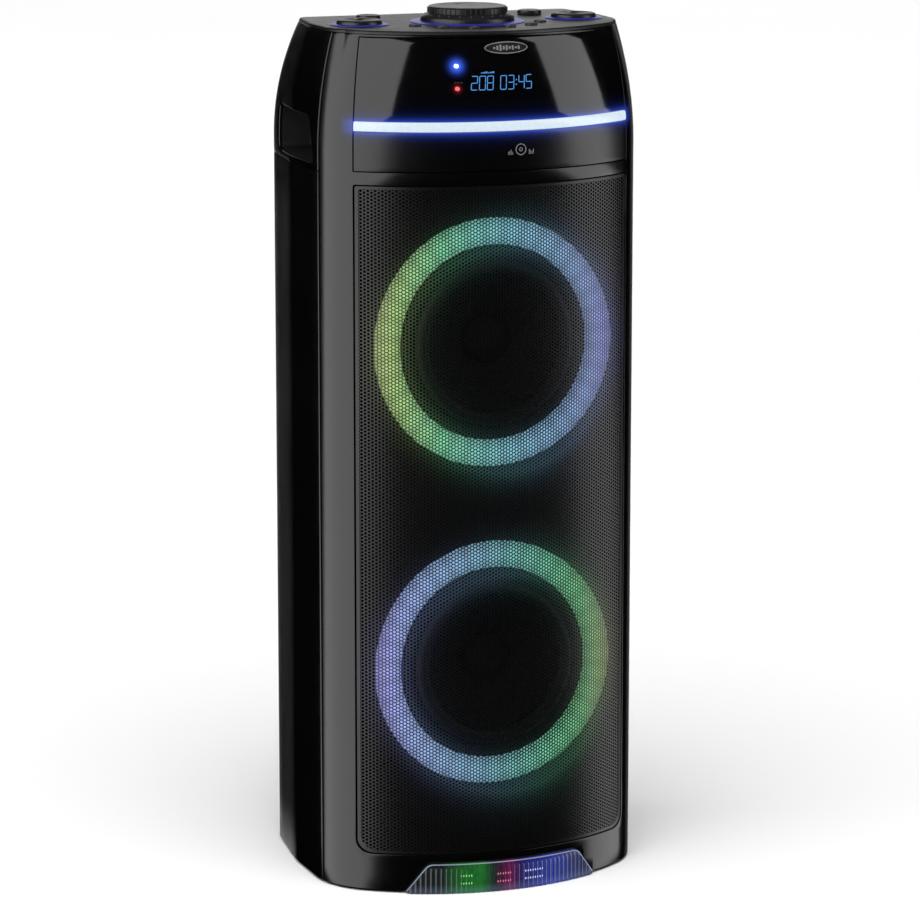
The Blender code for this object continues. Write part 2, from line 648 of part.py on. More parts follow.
def make_deck():
    deck = block("control_deck", [RIM_TOP + GAP, DECK_TOP - 0.0008, DECK_TOP], 0, "satin")
    knob = [(0, 0.0177), (0.0405, 0.0177), (0.0440, 0.0155), (0.0440, 0.0098), (0.0490, 0.0080),
            (FLANGE_KNOB_RADIUS, 0.0055), (FLANGE_KNOB_RADIUS, 0.0005), (0.006, 0.0005), (0.006, -0.018),
            (0, -0.018)]
    make_knob("volume_knob", 0, KNOB_BACK, knob, "satin", 0.0067, deck, 32)
    make_halo("volume_halo", 0, FLANGE_KNOB_RADIUS + 0.0008, HALO_RADIUS)
    pad = [(0, 0.0055), (0.0215, 0.0060), (PAD_RADIUS, 0.0045), (PAD_RADIUS, 0.0005), (0.004, 0.0005),
           (0.004, -0.014), (0, -0.014)]
    small = [(0, 0.0052), (0.0115, 0.0052), (SMALL_KNOB_RADIUS, 0.0035), (SMALL_KNOB_RADIUS, 0.0005),
             (0.003, 0.0005), (0.003, -0.014), (0, -0.014)]
    for side, name in ((-1, "left"), (1, "right")):
        make_knob("jog_pad_" + name, side * PAD_X, KNOB_BACK, pad, "satin", 0.0047, deck, 24)
        make_halo("pad_halo_" + name, side * PAD_X, PAD_RADIUS + 0.0008, PAD_HALO_RADIUS)
    make_knob("mic_knob", -SMALL_KNOB_X, SMALL_KNOB_BACK, small, "satin", 0.0037, deck, 20)
    make_knob("echo_knob", SMALL_KNOB_X, SMALL_KNOB_BACK, small, "satin", 0.0037, deck, 20)
    for name, bearing in zip(BUTTON_NAMES, BUTTON_BEARINGS):
        x, y = button_place(bearing)
        hole = drum(name + "_hole", (x, y, DECK_TOP), BUTTON_RADIUS + 0.0004, 0.02, None,
                    sides=16, home=cutters)
        combine(deck, hole, "DIFFERENCE")
        cap = [(0, 0.0020), (BUTTON_RADIUS - 0.0008, 0.0020), (BUTTON_RADIUS, 0.0012),
               (BUTTON_RADIUS, -0.0090), (0, -0.0090)]
        turned(name, cap, (x, y, DECK_TOP), "satin", steps=16, closed=False)
    box("control_board", (-0.120, to_y(0.050), 0.9270), (0.120, to_y(0.205), 0.9286), "circuit")


# --- rear plate, sockets, port and electronics

def make_rear():
    outline = rounded([(-PLATE_HALF_WIDTH, PLATE_BOTTOM), (PLATE_HALF_WIDTH, PLATE_BOTTOM),
                       (PLATE_HALF_WIDTH, PLATE_TOP), (-PLATE_HALF_WIDTH, PLATE_TOP)], [0.006] * 4, steps=3)
    near = to_y(REAR_BACK + GAP)
    far = near + PLATE_THICKNESS
    plate = prism("connection_plate", outline, near, far, "Y", "satin", speaker)
    sockets = (("mic_jack_left", -JACK_X, 0.0090, 0.0034), ("mic_jack_right", JACK_X, 0.0090, 0.0034),
               ("aux_jack", AUX_X, 0.0055, 0.0018))
    for name, x, radius, bore in sockets:
        hole = drum(name + "_hole", (x, far, JACK_HEIGHT), radius + GAP, 0.03, None, "front", 20, cutters)
        combine(plate, hole, "DIFFERENCE")
        profile = [(0, -0.019), (bore, -0.019), (bore, -0.0006), (bore + 0.0006, 0), (radius - 0.0005, 0),
                   (radius, -0.0005), (radius, -0.022), (0, -0.022)]
        turned(name, profile, (x, far, JACK_HEIGHT), "steel", "rear", 20, closed=False)
    inlet_hole = box("inlet_hole", (INLET_X - 0.0143, near - 0.01, INLET_HEIGHT - 0.0113),
                     (INLET_X + 0.0143, far + 0.01, INLET_HEIGHT + 0.0113), None, cutters)
    combine(plate, inlet_hole, "DIFFERENCE")
    inlet = box("power_inlet", (INLET_X - 0.014, far - 0.024, INLET_HEIGHT - 0.011),
                (INLET_X + 0.014, far, INLET_HEIGHT + 0.011), "satin")
    recess = rounded([(INLET_X - 0.0102, INLET_HEIGHT - 0.0058), (INLET_X + 0.0102, INLET_HEIGHT - 0.0058),
                      (INLET_X + 0.0102, INLET_HEIGHT + 0.0058), (INLET_X - 0.0102, INLET_HEIGHT + 0.0058)],
                     [0.0055] * 4, steps=3)
    combine(inlet, prism("inlet_recess", recess, far - 0.016, far + 0.01), "DIFFERENCE")
    rocker_hole = box("rocker_hole", (ROCKER_X - 0.0075, near - 0.01, INLET_HEIGHT - 0.0120),
                      (ROCKER_X + 0.0075, far + 0.01, INLET_HEIGHT + 0.0120), None, cutters)
    combine(plate, rocker_hole, "DIFFERENCE")
    box("power_rocker", (ROCKER_X - 0.0065, near - 0.0045, INLET_HEIGHT - 0.0105),
        (ROCKER_X + 0.0065, far - 0.0016, INLET_HEIGHT + 0.0105), "rubber")
    wall = 0.0035
    port = [(PORT_RADIUS + 0.004, 0.0030), (PORT_RADIUS + 0.013, 0.0015), (PORT_RADIUS + 0.013, GAP),
            (PORT_RADIUS + wall, GAP), (PORT_RADIUS + wall, -0.105), (PORT_RADIUS, -0.105),
            (PORT_RADIUS, -0.006)]
    turned("bass_port_tube", port, (0, to_y(REAR_BACK), PORT_HEIGHT), "satin", "rear", 24)
    box("amplifier_board", (-0.075, to_y(0.250), 0.060), (0.075, to_y(0.2516), 0.200), "circuit")
    box("power_supply", (-0.070, to_y(0.165), 0.0133), (0.070, to_y(0.235), 0.050), "steel")


make_fascia()
make_cabinet()
make_housing()
make_base()
make_floor_lens()
make_inserts()
make_drawer()
make_grille()
make_drivers()
make_deck()
make_rear()
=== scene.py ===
# Looks for the tower party speaker: glossy shells, perforated grille, light rings, deck and rear.
import bpy
import bmesh
from math import acos, asin, ceil, cos, pi, radians, sin, sqrt, tan
from mathutils import Matrix, Vector


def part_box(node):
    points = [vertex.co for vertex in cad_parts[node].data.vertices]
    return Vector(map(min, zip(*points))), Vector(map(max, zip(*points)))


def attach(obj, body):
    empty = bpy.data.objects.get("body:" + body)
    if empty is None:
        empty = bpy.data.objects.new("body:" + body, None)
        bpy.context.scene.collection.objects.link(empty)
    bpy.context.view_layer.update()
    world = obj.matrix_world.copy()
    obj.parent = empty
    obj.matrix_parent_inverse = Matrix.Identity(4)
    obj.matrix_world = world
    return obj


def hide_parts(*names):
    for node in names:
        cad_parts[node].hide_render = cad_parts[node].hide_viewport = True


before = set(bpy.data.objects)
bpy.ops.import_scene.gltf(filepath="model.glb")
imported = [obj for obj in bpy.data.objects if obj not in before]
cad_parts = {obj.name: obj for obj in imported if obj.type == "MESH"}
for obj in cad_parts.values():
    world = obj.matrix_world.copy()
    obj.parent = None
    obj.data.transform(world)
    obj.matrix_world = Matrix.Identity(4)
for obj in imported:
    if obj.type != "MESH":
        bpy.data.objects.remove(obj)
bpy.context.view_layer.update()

print("frame loaded:", len(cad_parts), "nodes")


# ---------- small tools

class Wire:
    # one output socket, so that shader and geometry sums read as plain expressions
    def __init__(self, board, socket):
        self.board = board
        self.socket = socket

    def pair(self, operation, first, second):
        return self.board.add("ShaderNodeMath", {"operation": operation}, {0: first, 1: second})

    def most(self, other):
        return self.pair("MAXIMUM", self, other)

    def only(self, operation):
        return self.board.add("ShaderNodeMath", {"operation": operation}, {0: self})


def operator(name, reversedSides):
    # a Python operator as a Math node
    def act(wire, other):
        return wire.pair(name, other, wire) if reversedSides else wire.pair(name, wire, other)
    return act


for sign, title in {"add": "ADD", "sub": "SUBTRACT", "mul": "MULTIPLY", "pow": "POWER",
                    "gt": "GREATER_THAN", "lt": "LESS_THAN"}.items():
    setattr(Wire, "__%s__" % sign, operator(title, False))
    setattr(Wire, "__r%s__" % sign, operator(title, True))


class Board:
    # adds nodes to a tree: settings first, then the values or links of the sockets
    def __init__(self, tree):
        self.tree = tree

    def add(self, kind, settings=None, values=None, out=0):
        node = self.tree.nodes.new(kind)
        for key, value in (settings or {}).items():
            if key == "stops":
                ramp = node.color_ramp
                while len(ramp.elements) < len(value):
                    ramp.elements.new(0.5)
                for element, (place, colour) in zip(ramp.elements, value):
                    element.position = place
                    element.color = (*colour, 1.0)
            else:
                setattr(node, key, value)
        for key, value in (values or {}).items():
            self.feed(node.inputs[key], value)
        return Wire(self, node.outputs[out])

    def feed(self, socket, value):
        if isinstance(value, Wire):
            self.tree.links.new(value.socket, socket)
        else:
            socket.default_value = value


class Finish(Board):
    # one material: a Principled shader whose sockets are set by name
    def __init__(self, name, **fixed):
        self.material = bpy.data.materials.new(name)
        self.material.use_nodes = True
        super().__init__(self.material.node_tree)
        self.shader = self.tree.nodes["Principled BSDF"]
        self.put(**fixed)

    def put(self, **values):
        for key, value in values.items():
            self.feed(self.shader.inputs[key.replace("_", " ")], value)

    def place(self):
        return self.add("ShaderNodeTexCoord", out="Object")

    def axes(self, place):
        node = self.add("ShaderNodeSeparateXYZ", values={0: place}).socket.node
        return [Wire(self, output) for output in node.outputs]

    def noise(self, place, scale, detail=3.0, rough=0.55):
        return self.add("ShaderNodeTexNoise", {}, {"Vector": place, "Scale": scale, "Detail": detail,
                                                   "Roughness": rough})

    def blend(self, share, first, second):
        return self.add("ShaderNodeMix", {"data_type": "RGBA"}, {0: share, 6: first, 7: second}, 2)

    def spread(self, value, low, high, newLow, newHigh):
        return self.add("ShaderNodeMapRange", {}, {0: value, 1: low, 2: high, 3: newLow, 4: newHigh})

    def glow(self, share, colour):
        # black where the share is nought, and the colour where it is one
        return self.blend(share, shade((0, 0, 0)), colour)

    def addLight(self, first, second):
        if first is None:
            return second
        settings = {"data_type": "RGBA", "blend_type": "ADD"}
        return self.add("ShaderNodeMix", settings, {0: 1.0, 6: first, 7: second}, 2)

    def coat(self, marks, dark, light, smooth, dull, low=0.3):
        # base colour and roughness that follow the same marks
        self.put(Base_Color=self.blend(marks, shade(dark), shade(light)))
        self.put(Roughness=self.spread(marks, low, 0.7, smooth, dull))

    def relief(self, height, distance, strength=1.0):
        return self.add("ShaderNodeBump", {}, {"Height": height, "Distance": distance, "Strength": strength})


def shade(colour):
    return (*colour, 1.0)


def tint(colour, factor):
    return tuple(channel * factor for channel in colour)


def meshPiece(name, points, faces, edges=()):
    mesh = bpy.data.meshes.new(name)
    mesh.from_pydata([tuple(p) for p in points], list(edges), faces)
    mesh.update()
    piece = bpy.data.objects.new(name, mesh)
    bpy.context.scene.collection.objects.link(piece)
    return piece


def edited(piece, *changes):
    # each change is a function of the piece's bmesh
    shape = bmesh.new()
    shape.from_mesh(piece.data)
    for change in changes:
        change(shape)
    shape.to_mesh(piece.data)
    shape.free()
    return piece


def weld(shape):
    bmesh.ops.remove_doubles(shape, verts=shape.verts, dist=0.000002)


def faceOut(shape):
    bmesh.ops.recalc_face_normals(shape, faces=shape.faces)


def dropLoose(shape):
    bmesh.ops.delete(shape, geom=[corner for corner in shape.verts if not corner.link_faces], context="VERTS")


def closeGaps(shape):
    # a cut may leave a sliver open
    bmesh.ops.dissolve_degenerate(shape, edges=shape.edges, dist=0.000001)
    gaps = [edge for edge in shape.edges if edge.is_boundary]
    if gaps:
        bmesh.ops.holes_fill(shape, edges=gaps, sides=12)


def outward(piece):
    return edited(piece, weld, faceOut)


def settle(piece):
    # the modifiers' result becomes the mesh
    bpy.context.view_layer.update()
    piece.data = bpy.data.meshes.new_from_object(piece.evaluated_get(bpy.context.evaluated_depsgraph_get()))
    piece.modifiers.clear()
    return piece


def bake(piece, crease=35, merge=True):
    # modifiers and placement go into the mesh, and the object goes to the origin
    settle(piece)
    piece.data.transform(piece.matrix_world)
    piece.matrix_world = Matrix.Identity(4)
    if merge:
        edited(piece, weld)
    piece.data.shade_smooth()
    piece.data.set_sharp_from_angle(angle=radians(crease))
    return piece


def join(name, pieces):
    # several finished meshes become one piece
    whole = meshPiece("whole", [], [])
    for piece in pieces:
        edited(whole, lambda shape: shape.from_mesh(piece.data))
        bpy.data.objects.remove(piece)
    whole.name = name
    return bake(whole, merge=False)


def wear(piece, finish, body="cabinet", replaced=()):
    # material, body, and the CAD nodes it stands for
    piece.data.materials.clear()
    piece.data.materials.append(finish.material)
    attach(piece, body)
    if replaced:
        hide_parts(*replaced)
    return piece


def turned(name, profile, place, facing="up", steps=64, closed=True, crease=35):
    # (radius, height) points turned about Z, then stood up, or laid towards the front or the rear
    edges = [(i, i + 1) for i in range(len(profile) - 1)]
    if closed:
        edges.append((len(profile) - 1, 0))
    piece = meshPiece(name, [(r, 0, h) for r, h in profile], [], edges)
    screw = piece.modifiers.new("turn", "SCREW")
    screw.steps = steps
    screw.render_steps = steps
    screw.use_merge_vertices = True
    screw.merge_threshold = 0.00001
    piece.location = place
    piece.rotation_euler = ({"up": 0, "front": pi / 2, "rear": -pi / 2}[facing], 0, 0)
    return outward(bake(piece, crease))


def rounded(corners, radii, steps=8):
    # a polygon's corners as arcs
    outline = []
    count = len(corners)
    for i, radius in enumerate(radii):
        here = Vector(corners[i])
        before = (Vector(corners[i - 1]) - here).normalized()
        after = (Vector(corners[(i + 1) % count]) - here).normalized()
        if radius == 0:
            outline.append(tuple(here))
            continue
        half = before.angle(after) / 2
        centre = here + (before + after).normalized() * (radius / sin(half))
        start = here + before * (radius / tan(half)) - centre
        stop = here + after * (radius / tan(half)) - centre
        for step in range(steps + 1):
            outline.append(tuple(centre + start.slerp(stop, step / steps).normalized() * radius))
    return outline


def bar(left, low, right, high):
    return [(left, low), (right, low), (right, high), (left, high)]


def boxOutline(low, high, radius):
    return rounded(bar(*low, *high), [radius] * 4)


def circleOutline(centre, radius, steps=24, rise=None):
    rise = radius if rise is None else rise
    angles = [2 * pi * i / steps for i in range(steps)]
    return [(centre[0] + radius * cos(a), centre[1] + rise * sin(a)) for a in angles]


def quarter(radius, rise=None, step=15, base=0.0):
    # (radius, height) points of a dome, from its pole down to its rim
    rise = radius if rise is None else rise
    points = [(radius * sin(radians(a)), base + rise * cos(radians(a))) for a in range(0, 91, step)]
    return [(0, points[0][1])] + points[1:]


def loft(name, rows, ends="capped"):
    # matching loops joined side to side: capped at both ends, left open, or joined round
    count = len(rows[0])
    last = (len(rows) - 1) * count
    faces = [tuple(range(count)), tuple(reversed(range(last, last + count)))] if ends == "capped" else []
    for row in range(len(rows) if ends == "joined" else len(rows) - 1):
        near, far = row * count, (row + 1) % len(rows) * count
        faces += [(near + i, near + (i + 1) % count, far + (i + 1) % count, far + i) for i in range(count)]
    return outward(meshPiece(name, [point for row in rows for point in row], faces))


def prism(name, outline, near, far, along="Y"):
    # (x, z) points run along Y, (y, z) points along X, (x, y) points along Z
    def spot(u, v, w):
        return {"Y": (u, w, v), "X": (w, u, v), "Z": (u, v, w)}[along]
    return loft(name, [[spot(u, v, w) for u, v in outline] for w in (near, far)])


def carve(piece, cutter, operation="DIFFERENCE"):
    # a Boolean that is applied at once, and the cutter is removed
    cut = piece.modifiers.new("cut", "BOOLEAN")
    cut.operation = operation
    cut.solver = "EXACT"
    cut.object = cutter
    settle(piece)
    bpy.data.objects.remove(cutter)
    return edited(piece, closeGaps)


def soften(piece, width, segments=2, limit=40):
    edge = piece.modifiers.new("edge", "BEVEL")
    edge.width = width
    edge.segments = segments
    edge.limit_method = "ANGLE"
    edge.angle_limit = radians(limit)
    edge.use_clamp_overlap = False
    edge.harden_normals = False
    edge.miter_outer = "MITER_ARC"
    return piece


# ---------- the body's outer form

bodyForm = {"originBack": 0.145, "frontRadius": 0.256, "frontHalf": 0.152, "cornerHalf": 0.1862,
            "cornerEnd": radians(88), "widest": (0.1875, 0.182), "rearBack": 0.290,
            "rearCorner": (0.164, 0.278), "rearRadius": 0.012, "fasciaBack": 0.097,
            "facetTurn": radians(97.2), "taperStart": 0.820, "taperRate": 1.317, "sideLean": 0.8,
            "rearLean": 2.0, "openingHalf": 0.1585, "seam": 0.0008, "shellSeam": 0.0009}


class Form:
    # the plan outline as stations (x, back, turn of the normal), and the lean of the top
    def __init__(self, sizes):
        self.sizes = sizes
        self.frontTurn = asin(sizes["frontHalf"] / sizes["frontRadius"])
        self.cornerBack = sizes["frontRadius"] * (1 - cos(self.frontTurn))
        self.cornerRadius = ((sizes["cornerHalf"] - sizes["frontHalf"])
                             / (sin(sizes["cornerEnd"]) - sin(self.frontTurn)))
        self.cornerEndBack = self.front(sizes["cornerEnd"])[1]
        drop = (sizes["fasciaBack"] - self.cornerBack) / self.cornerRadius
        self.fasciaTurn = acos(cos(self.frontTurn) - drop)
        self.openingTurn = self.turnAt(sizes["openingHalf"])
        self.insertTurn = self.openingTurn - sizes["seam"] / self.cornerRadius

    def turnAt(self, x):
        if x <= self.sizes["frontHalf"]:
            return asin(x / self.sizes["frontRadius"])
        return asin(sin(self.frontTurn) + (x - self.sizes["frontHalf"]) / self.cornerRadius)

    def front(self, turn):
        side = 1 if turn >= 0 else -1
        swing = abs(turn)
        if swing <= self.frontTurn:
            radius = self.sizes["frontRadius"]
            return (side * radius * sin(swing), radius * (1 - cos(swing)), turn)
        x = self.sizes["frontHalf"] + self.cornerRadius * (sin(swing) - sin(self.frontTurn))
        back = self.cornerBack + self.cornerRadius * (cos(self.frontTurn) - cos(swing))
        return (side * x, back, turn)

    def fronts(self, limit, step=radians(1.2)):
        # stations from -limit to limit, with one at each limit
        count = ceil(2 * limit / step)
        return [self.front(-limit + 2 * limit * i / count) for i in range(count + 1)]

    def rears(self, start, step=radians(2)):
        # right side, round the rear facet and the back, to the left side
        sizes = self.sizes
        count = ceil((sizes["cornerEnd"] - start) / step)
        right = [self.front(start + (sizes["cornerEnd"] - start) * i / count) for i in range(count + 1)]
        edge = Vector((*sizes["widest"],))
        before = Vector((right[-1][0], right[-1][1]))
        corner = Vector(sizes["rearCorner"])
        radius = sizes["rearRadius"]
        facetStart = corner + Vector((sin(sizes["facetTurn"]), -cos(sizes["facetTurn"]))) * radius
        right += [(*before.lerp(edge, share), radians(88.6 + share)) for share in (0.15, 0.4, 0.65, 0.88)]
        for share, turn in ((-0.10, 90), (-0.05, 91), (0, 93), (0.05, 95.5), (0.10, 96.6)):
            spot = edge.lerp(facetStart if share > 0 else before, abs(share))
            spot = spot - Vector((0.0004, 0)) * (1 - abs(share) / 0.10)
            right.append((*spot, radians(turn)))
        right += [(*edge.lerp(facetStart, share), sizes["facetTurn"]) for share in (0.3, 0.55, 0.8)]
        for i in range(13):
            turn = sizes["facetTurn"] + (pi - sizes["facetTurn"]) * i / 12
            right.append((corner.x + radius * sin(turn), corner.y - radius * cos(turn), turn))
        right += [(corner.x * (1 - share), sizes["rearBack"], pi) for share in (0.12, 0.3, 0.5, 0.75)]
        left = [(-x, back, -turn) for x, back, turn in reversed(right)]
        return right + [(0, sizes["rearBack"], pi)] + left

    def lean(self, height):
        return self.sizes["taperRate"] * max(0.0, height - self.sizes["taperStart"]) ** 2

    def on(self, station, height, inset=0.0):
        x, back, turn = station
        sizes = self.sizes
        lean = self.lean(height)
        swing = abs(turn)
        if swing <= sizes["cornerEnd"] + 0.0001:
            corner = radians(60)
            share = 0.5 + 0.5 * swing / corner
            if swing > corner:
                share = 1.0 - (1.0 - sizes["sideLean"]) * (swing - corner) / (sizes["cornerEnd"] - corner)
            x -= sin(turn) * share * lean
            back += cos(turn) * share * lean
        else:
            share = (back - self.cornerEndBack) / (sizes["rearBack"] - self.cornerEndBack)
            x *= 1 - sizes["sideLean"] * lean / sizes["cornerHalf"]
            back -= sizes["rearLean"] * lean * share
        return Vector((x - sin(turn) * inset, back - sizes["originBack"] + cos(turn) * inset, height))

    def patch(self, x, height, inset=0.0):
        # the skin above a given x on the front
        turn = self.turnAt(abs(x)) * (1 if x >= 0 else -1)
        return self.on(self.front(turn), height, inset)


form = Form(bodyForm)


def toY(back):
    return back - bodyForm["originBack"]


def levels(low, high, step):
    count = max(1, ceil((high - low) / step))
    return [low + (high - low) * i / count for i in range(count + 1)]


def wall(name, outer, inner, heights, keep=None):
    # two skins of matching points, closed at their rims; keep(row, i) is false where there is an opening
    across = len(outer) // len(heights)
    shift = len(outer)
    skin = []
    for row in range(len(heights) - 1):
        for i in range(across - 1):
            corner = row * across + i
            if keep is None or keep(row, i):
                skin.append((corner, corner + 1, corner + across + 1, corner + across))
    faces = skin + [tuple(i + shift for i in reversed(face)) for face in skin]
    sides = [(face[i], face[(i + 1) % 4]) for face in skin for i in range(4)]
    shared = set(sides)
    faces += [(b, a, a + shift, b + shift) for a, b in sides if (b, a) not in shared]
    return edited(meshPiece(name, outer + inner, faces), dropLoose)


def shell(name, stations, heights, inset, thickness, window=None):
    # a wall between the skin and the same skin moved in
    outer = [form.on(station, height, inset) for height in heights for station in stations]
    inner = [form.on(station, height, inset + thickness) for height in heights for station in stations]

    def keep(row, i):
        middle = (heights[row] + heights[row + 1]) / 2
        turn = (stations[i][2] + stations[i + 1][2]) / 2
        return not (window and window[0] < middle < window[1] and abs(turn) < window[2])
    return wall(name, outer, inner, heights, keep)


def slab(name, heights, insets):
    # the whole plan outline as a solid, with its own inset at each height
    full = form.fronts(form.fasciaTurn) + form.rears(form.fasciaTurn)[1:-1]
    rows = [[form.on(station, height, inset) for station in full] for height, inset in zip(heights, insets)]
    return loft(name, rows)


def onSkin(name, outline, near, far):
    # a flat outline of (x, z) points laid on the front's skin, from one depth to another
    return loft(name, [[form.patch(x, z, depth) for x, z in outline] for depth in (near, far)])


print("tools ready")

# ---------- finishes

glowForm = {"barLow": 0.8467, "barHigh": 0.8573, "barHalf": 0.157, "linkLamp": (-0.055, 0.917),
            "standbyLamp": (-0.055, 0.893)}


def dust(finish, place, fine=90.0, broad=9.0):
    # slight cleaning haze and handling marks, as a value near 0.5
    return (finish.noise(place, fine, 4.0) + finish.noise(place, broad, 2.0)) * 0.5


def glossBlack(name, glows=(), haze=0.0):
    # piano-black moulding: a deep base under a clear coat that is a little wavy
    finish = Finish(name, Roughness=0.09, IOR=1.46, Coat_Weight=0.0)
    place = finish.place()
    marks = dust(finish, place)
    finish.coat(marks, (0.0006, 0.0006, 0.0008), (0.0016, 0.0016, 0.0020), 0.055 + haze, 0.115 + haze, 0.35)
    wave = finish.noise(place, 7.0, 1.0)
    finish.put(Normal=finish.relief(wave, 0.0006, 0.35))
    addGlow(finish, place, glows)
    return finish


def addGlow(finish, place, glows):
    # painted light: emission that stands for the light spilling on the surface from the lit pieces beside it
    total = None
    axes = finish.axes(place)
    for glow in glows:
        total = finish.addLight(total, glow(finish, *axes))
    finish.put(Emission_Color=total, Emission_Strength=1.0)


def barGlow(strength, reach):
    # painted blue light spill, falling off above and below the light bar
    def light(finish, x, y, z):
        above = (z - glowForm["barHigh"]).most(0.0)
        below = (glowForm["barLow"] - z).most(0.0)
        fall = ((above + below) * (-1.0 / reach)).only("EXPONENT")
        ends = finish.spread(x.only("ABSOLUTE"), glowForm["barHalf"], glowForm["barHalf"] + 0.012, 1.0, 0.0)
        inside = finish.spread(y, -0.075, -0.030, 1.0, 0.0)
        return finish.glow(fall * ends * inside * strength, shade((0.05, 0.13, 1.0)))
    return light


def lampGlow(spot, radius, colour, strength):
    # a painted soft round halo of light about a lamp, on the front only
    def light(finish, x, y, z):
        across = (x - spot[0]) * (1.0 / radius)
        up = (z - spot[1]) * (1.0 / radius)
        fall = ((across * across + up * up) * -1.0).only("EXPONENT")
        return finish.glow(fall * (y < -0.10) * strength, shade(colour))
    return light


def mouldedBlack(name, base, rough, grain):
    # satin plastic with a fine spark-eroded grain
    finish = Finish(name, IOR=1.45)
    place = finish.place()
    marks = dust(finish, place, 60.0, 6.0)
    finish.coat(marks, tint(base, 0.8), tint(base, 1.25), rough - 0.05, rough + 0.06)
    finish.put(Normal=finish.relief(finish.noise(place, 1400.0, 2.0), grain))
    return finish


def metalFinish(name, base, rough, scratch=0.00002, metallic=1.0):
    finish = Finish(name, Metallic=metallic)
    place = finish.place()
    marks = dust(finish, place, 120.0, 14.0)
    finish.coat(marks, tint(base, 0.8), base, rough - 0.06, rough + 0.08)
    stretch = finish.add("ShaderNodeMapping", {}, {"Vector": place, "Scale": (40.0, 900.0, 900.0)})
    finish.put(Normal=finish.relief(finish.noise(stretch, 1.0, 2.0), scratch))
    return finish


def rubberFinish(name, base, rough):
    finish = Finish(name, IOR=1.5)
    place = finish.place()
    marks = dust(finish, place, 220.0, 20.0)
    finish.coat(marks, tint(base, 0.7), tint(base, 1.4), rough - 0.08, rough + 0.08)
    finish.put(Normal=finish.relief(finish.noise(place, 900.0, 3.0), 0.00003))
    return finish


def paperFinish(name, centreHeight):
    # pressed pulp with fine rings about the cone's axis
    finish = Finish(name, IOR=1.4)
    place = finish.place()
    x, y, z = finish.axes(place)
    up = z - centreHeight
    radius = (x * x + up * up).only("SQRT")
    rings = (radius * (2 * pi / 0.0042)).only("SINE")
    fibres = finish.noise(place, 420.0, 4.0, 0.7)
    finish.coat(fibres, (0.0015, 0.0015, 0.0017), (0.0050, 0.0050, 0.0055), 0.72, 0.92)
    finish.put(Normal=finish.relief(fibres * 0.6 + rings * 0.4, 0.00025))
    return finish


def boardFinish(name):
    # solder-masked circuit board with pads and traces
    finish = Finish(name, IOR=1.5, Coat_Roughness=0.2)
    place = finish.place()
    cells = finish.add("ShaderNodeTexVoronoi", {"feature": "F1", "distance": "CHEBYCHEV"},
                       {"Vector": place, "Scale": 210.0})
    tracks = finish.add("ShaderNodeTexBrick", {}, {"Vector": place, "Scale": 60.0, "Mortar Size": 0.06}, 1)
    pads = cells < 0.14
    mask = finish.blend(tracks, shade((0.010, 0.085, 0.030)), shade((0.016, 0.13, 0.045)))
    finish.put(Base_Color=finish.blend(pads, mask, shade((0.62, 0.60, 0.52))))
    finish.put(Metallic=pads * 1.0, Roughness=finish.spread(pads, 0.0, 1.0, 0.38, 0.25))
    finish.put(Normal=finish.relief(pads + tracks * 0.3, 0.00008))
    return finish


def woodFinish(name):
    # particle board: chips of several browns under black stain
    finish = Finish(name, IOR=1.45)
    place = finish.place()
    chips = finish.add("ShaderNodeTexVoronoi", {"feature": "F1"}, {"Vector": place, "Scale": 320.0}, 1)
    mottle = finish.add("ShaderNodeSeparateColor", {}, {0: chips})
    dark, pale = shade((0.0015, 0.0014, 0.0012)), shade((0.0050, 0.0040, 0.0030))
    finish.put(Base_Color=finish.blend(mottle, dark, pale))
    finish.put(Roughness=finish.spread(finish.noise(place, 60.0), 0.3, 0.7, 0.7, 0.9))
    finish.put(Normal=finish.relief(mottle, 0.0001))
    return finish


def litFinish(name, colour, strength, base=(0.6, 0.6, 0.6), rough=0.3, grain=260.0):
    # a lit diffuser whose brightness wavers a little
    finish = Finish(name, Roughness=rough, Emission_Strength=strength)
    place = finish.place()
    cloud = finish.noise(place, grain, 2.0)
    finish.put(Base_Color=finish.blend(cloud, shade(tint(base, 0.85)), shade(base)))
    finish.put(Emission_Color=finish.blend(cloud, shade(tint(colour, 0.8)), shade(colour)))
    finish.put(Normal=finish.relief(cloud, 0.00005))
    return finish


ringForm = {"upper": {"node": "light_ring_upper",
                      "stops": [(0.00, (0.24, 0.30, 0.10)), (0.10, (0.19, 0.32, 0.11)),
                                (0.27, (0.10, 0.33, 0.18)),
                                (0.44, (0.10, 0.29, 0.28)), (0.56, (0.11, 0.28, 0.34)),
                                (0.73, (0.13, 0.25, 0.38)),
                                (0.88, (0.14, 0.21, 0.42)), (1.00, (0.15, 0.16, 0.44))]},
            "lower": {"node": "light_ring_lower",
                      "stops": [(0.00, (0.18, 0.17, 0.44)), (0.12, (0.17, 0.22, 0.43)),
                                (0.27, (0.14, 0.23, 0.38)),
                                (0.44, (0.11, 0.24, 0.32)), (0.56, (0.09, 0.26, 0.26)),
                                (0.73, (0.08, 0.30, 0.18)),
                                (0.88, (0.08, 0.28, 0.11)), (1.00, (0.16, 0.20, 0.06))]},
            "strength": 2.1, "bulbs": 36, "inner": 0.1085, "spill": 0.010, "spillEnd": 0.19}


def ringAxes(finish, place, node):
    # a ring's distance from its axis, the angle round it, and its colour from left to right
    low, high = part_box(ringForm[node]["node"])
    x, y, z = finish.axes(place)
    up = z - (low[2] + high[2]) / 2
    radius = (x * x + up * up).only("SQRT")
    angle = finish.add("ShaderNodeMath", {"operation": "ARCTAN2"}, {0: up, 1: x})
    share = finish.spread(x, low[0], high[0], 0.0, 1.0)
    colour = finish.add("ShaderNodeValToRGB", {"stops": ringForm[node]["stops"]}, {0: share})
    return radius, angle, colour, high[0]


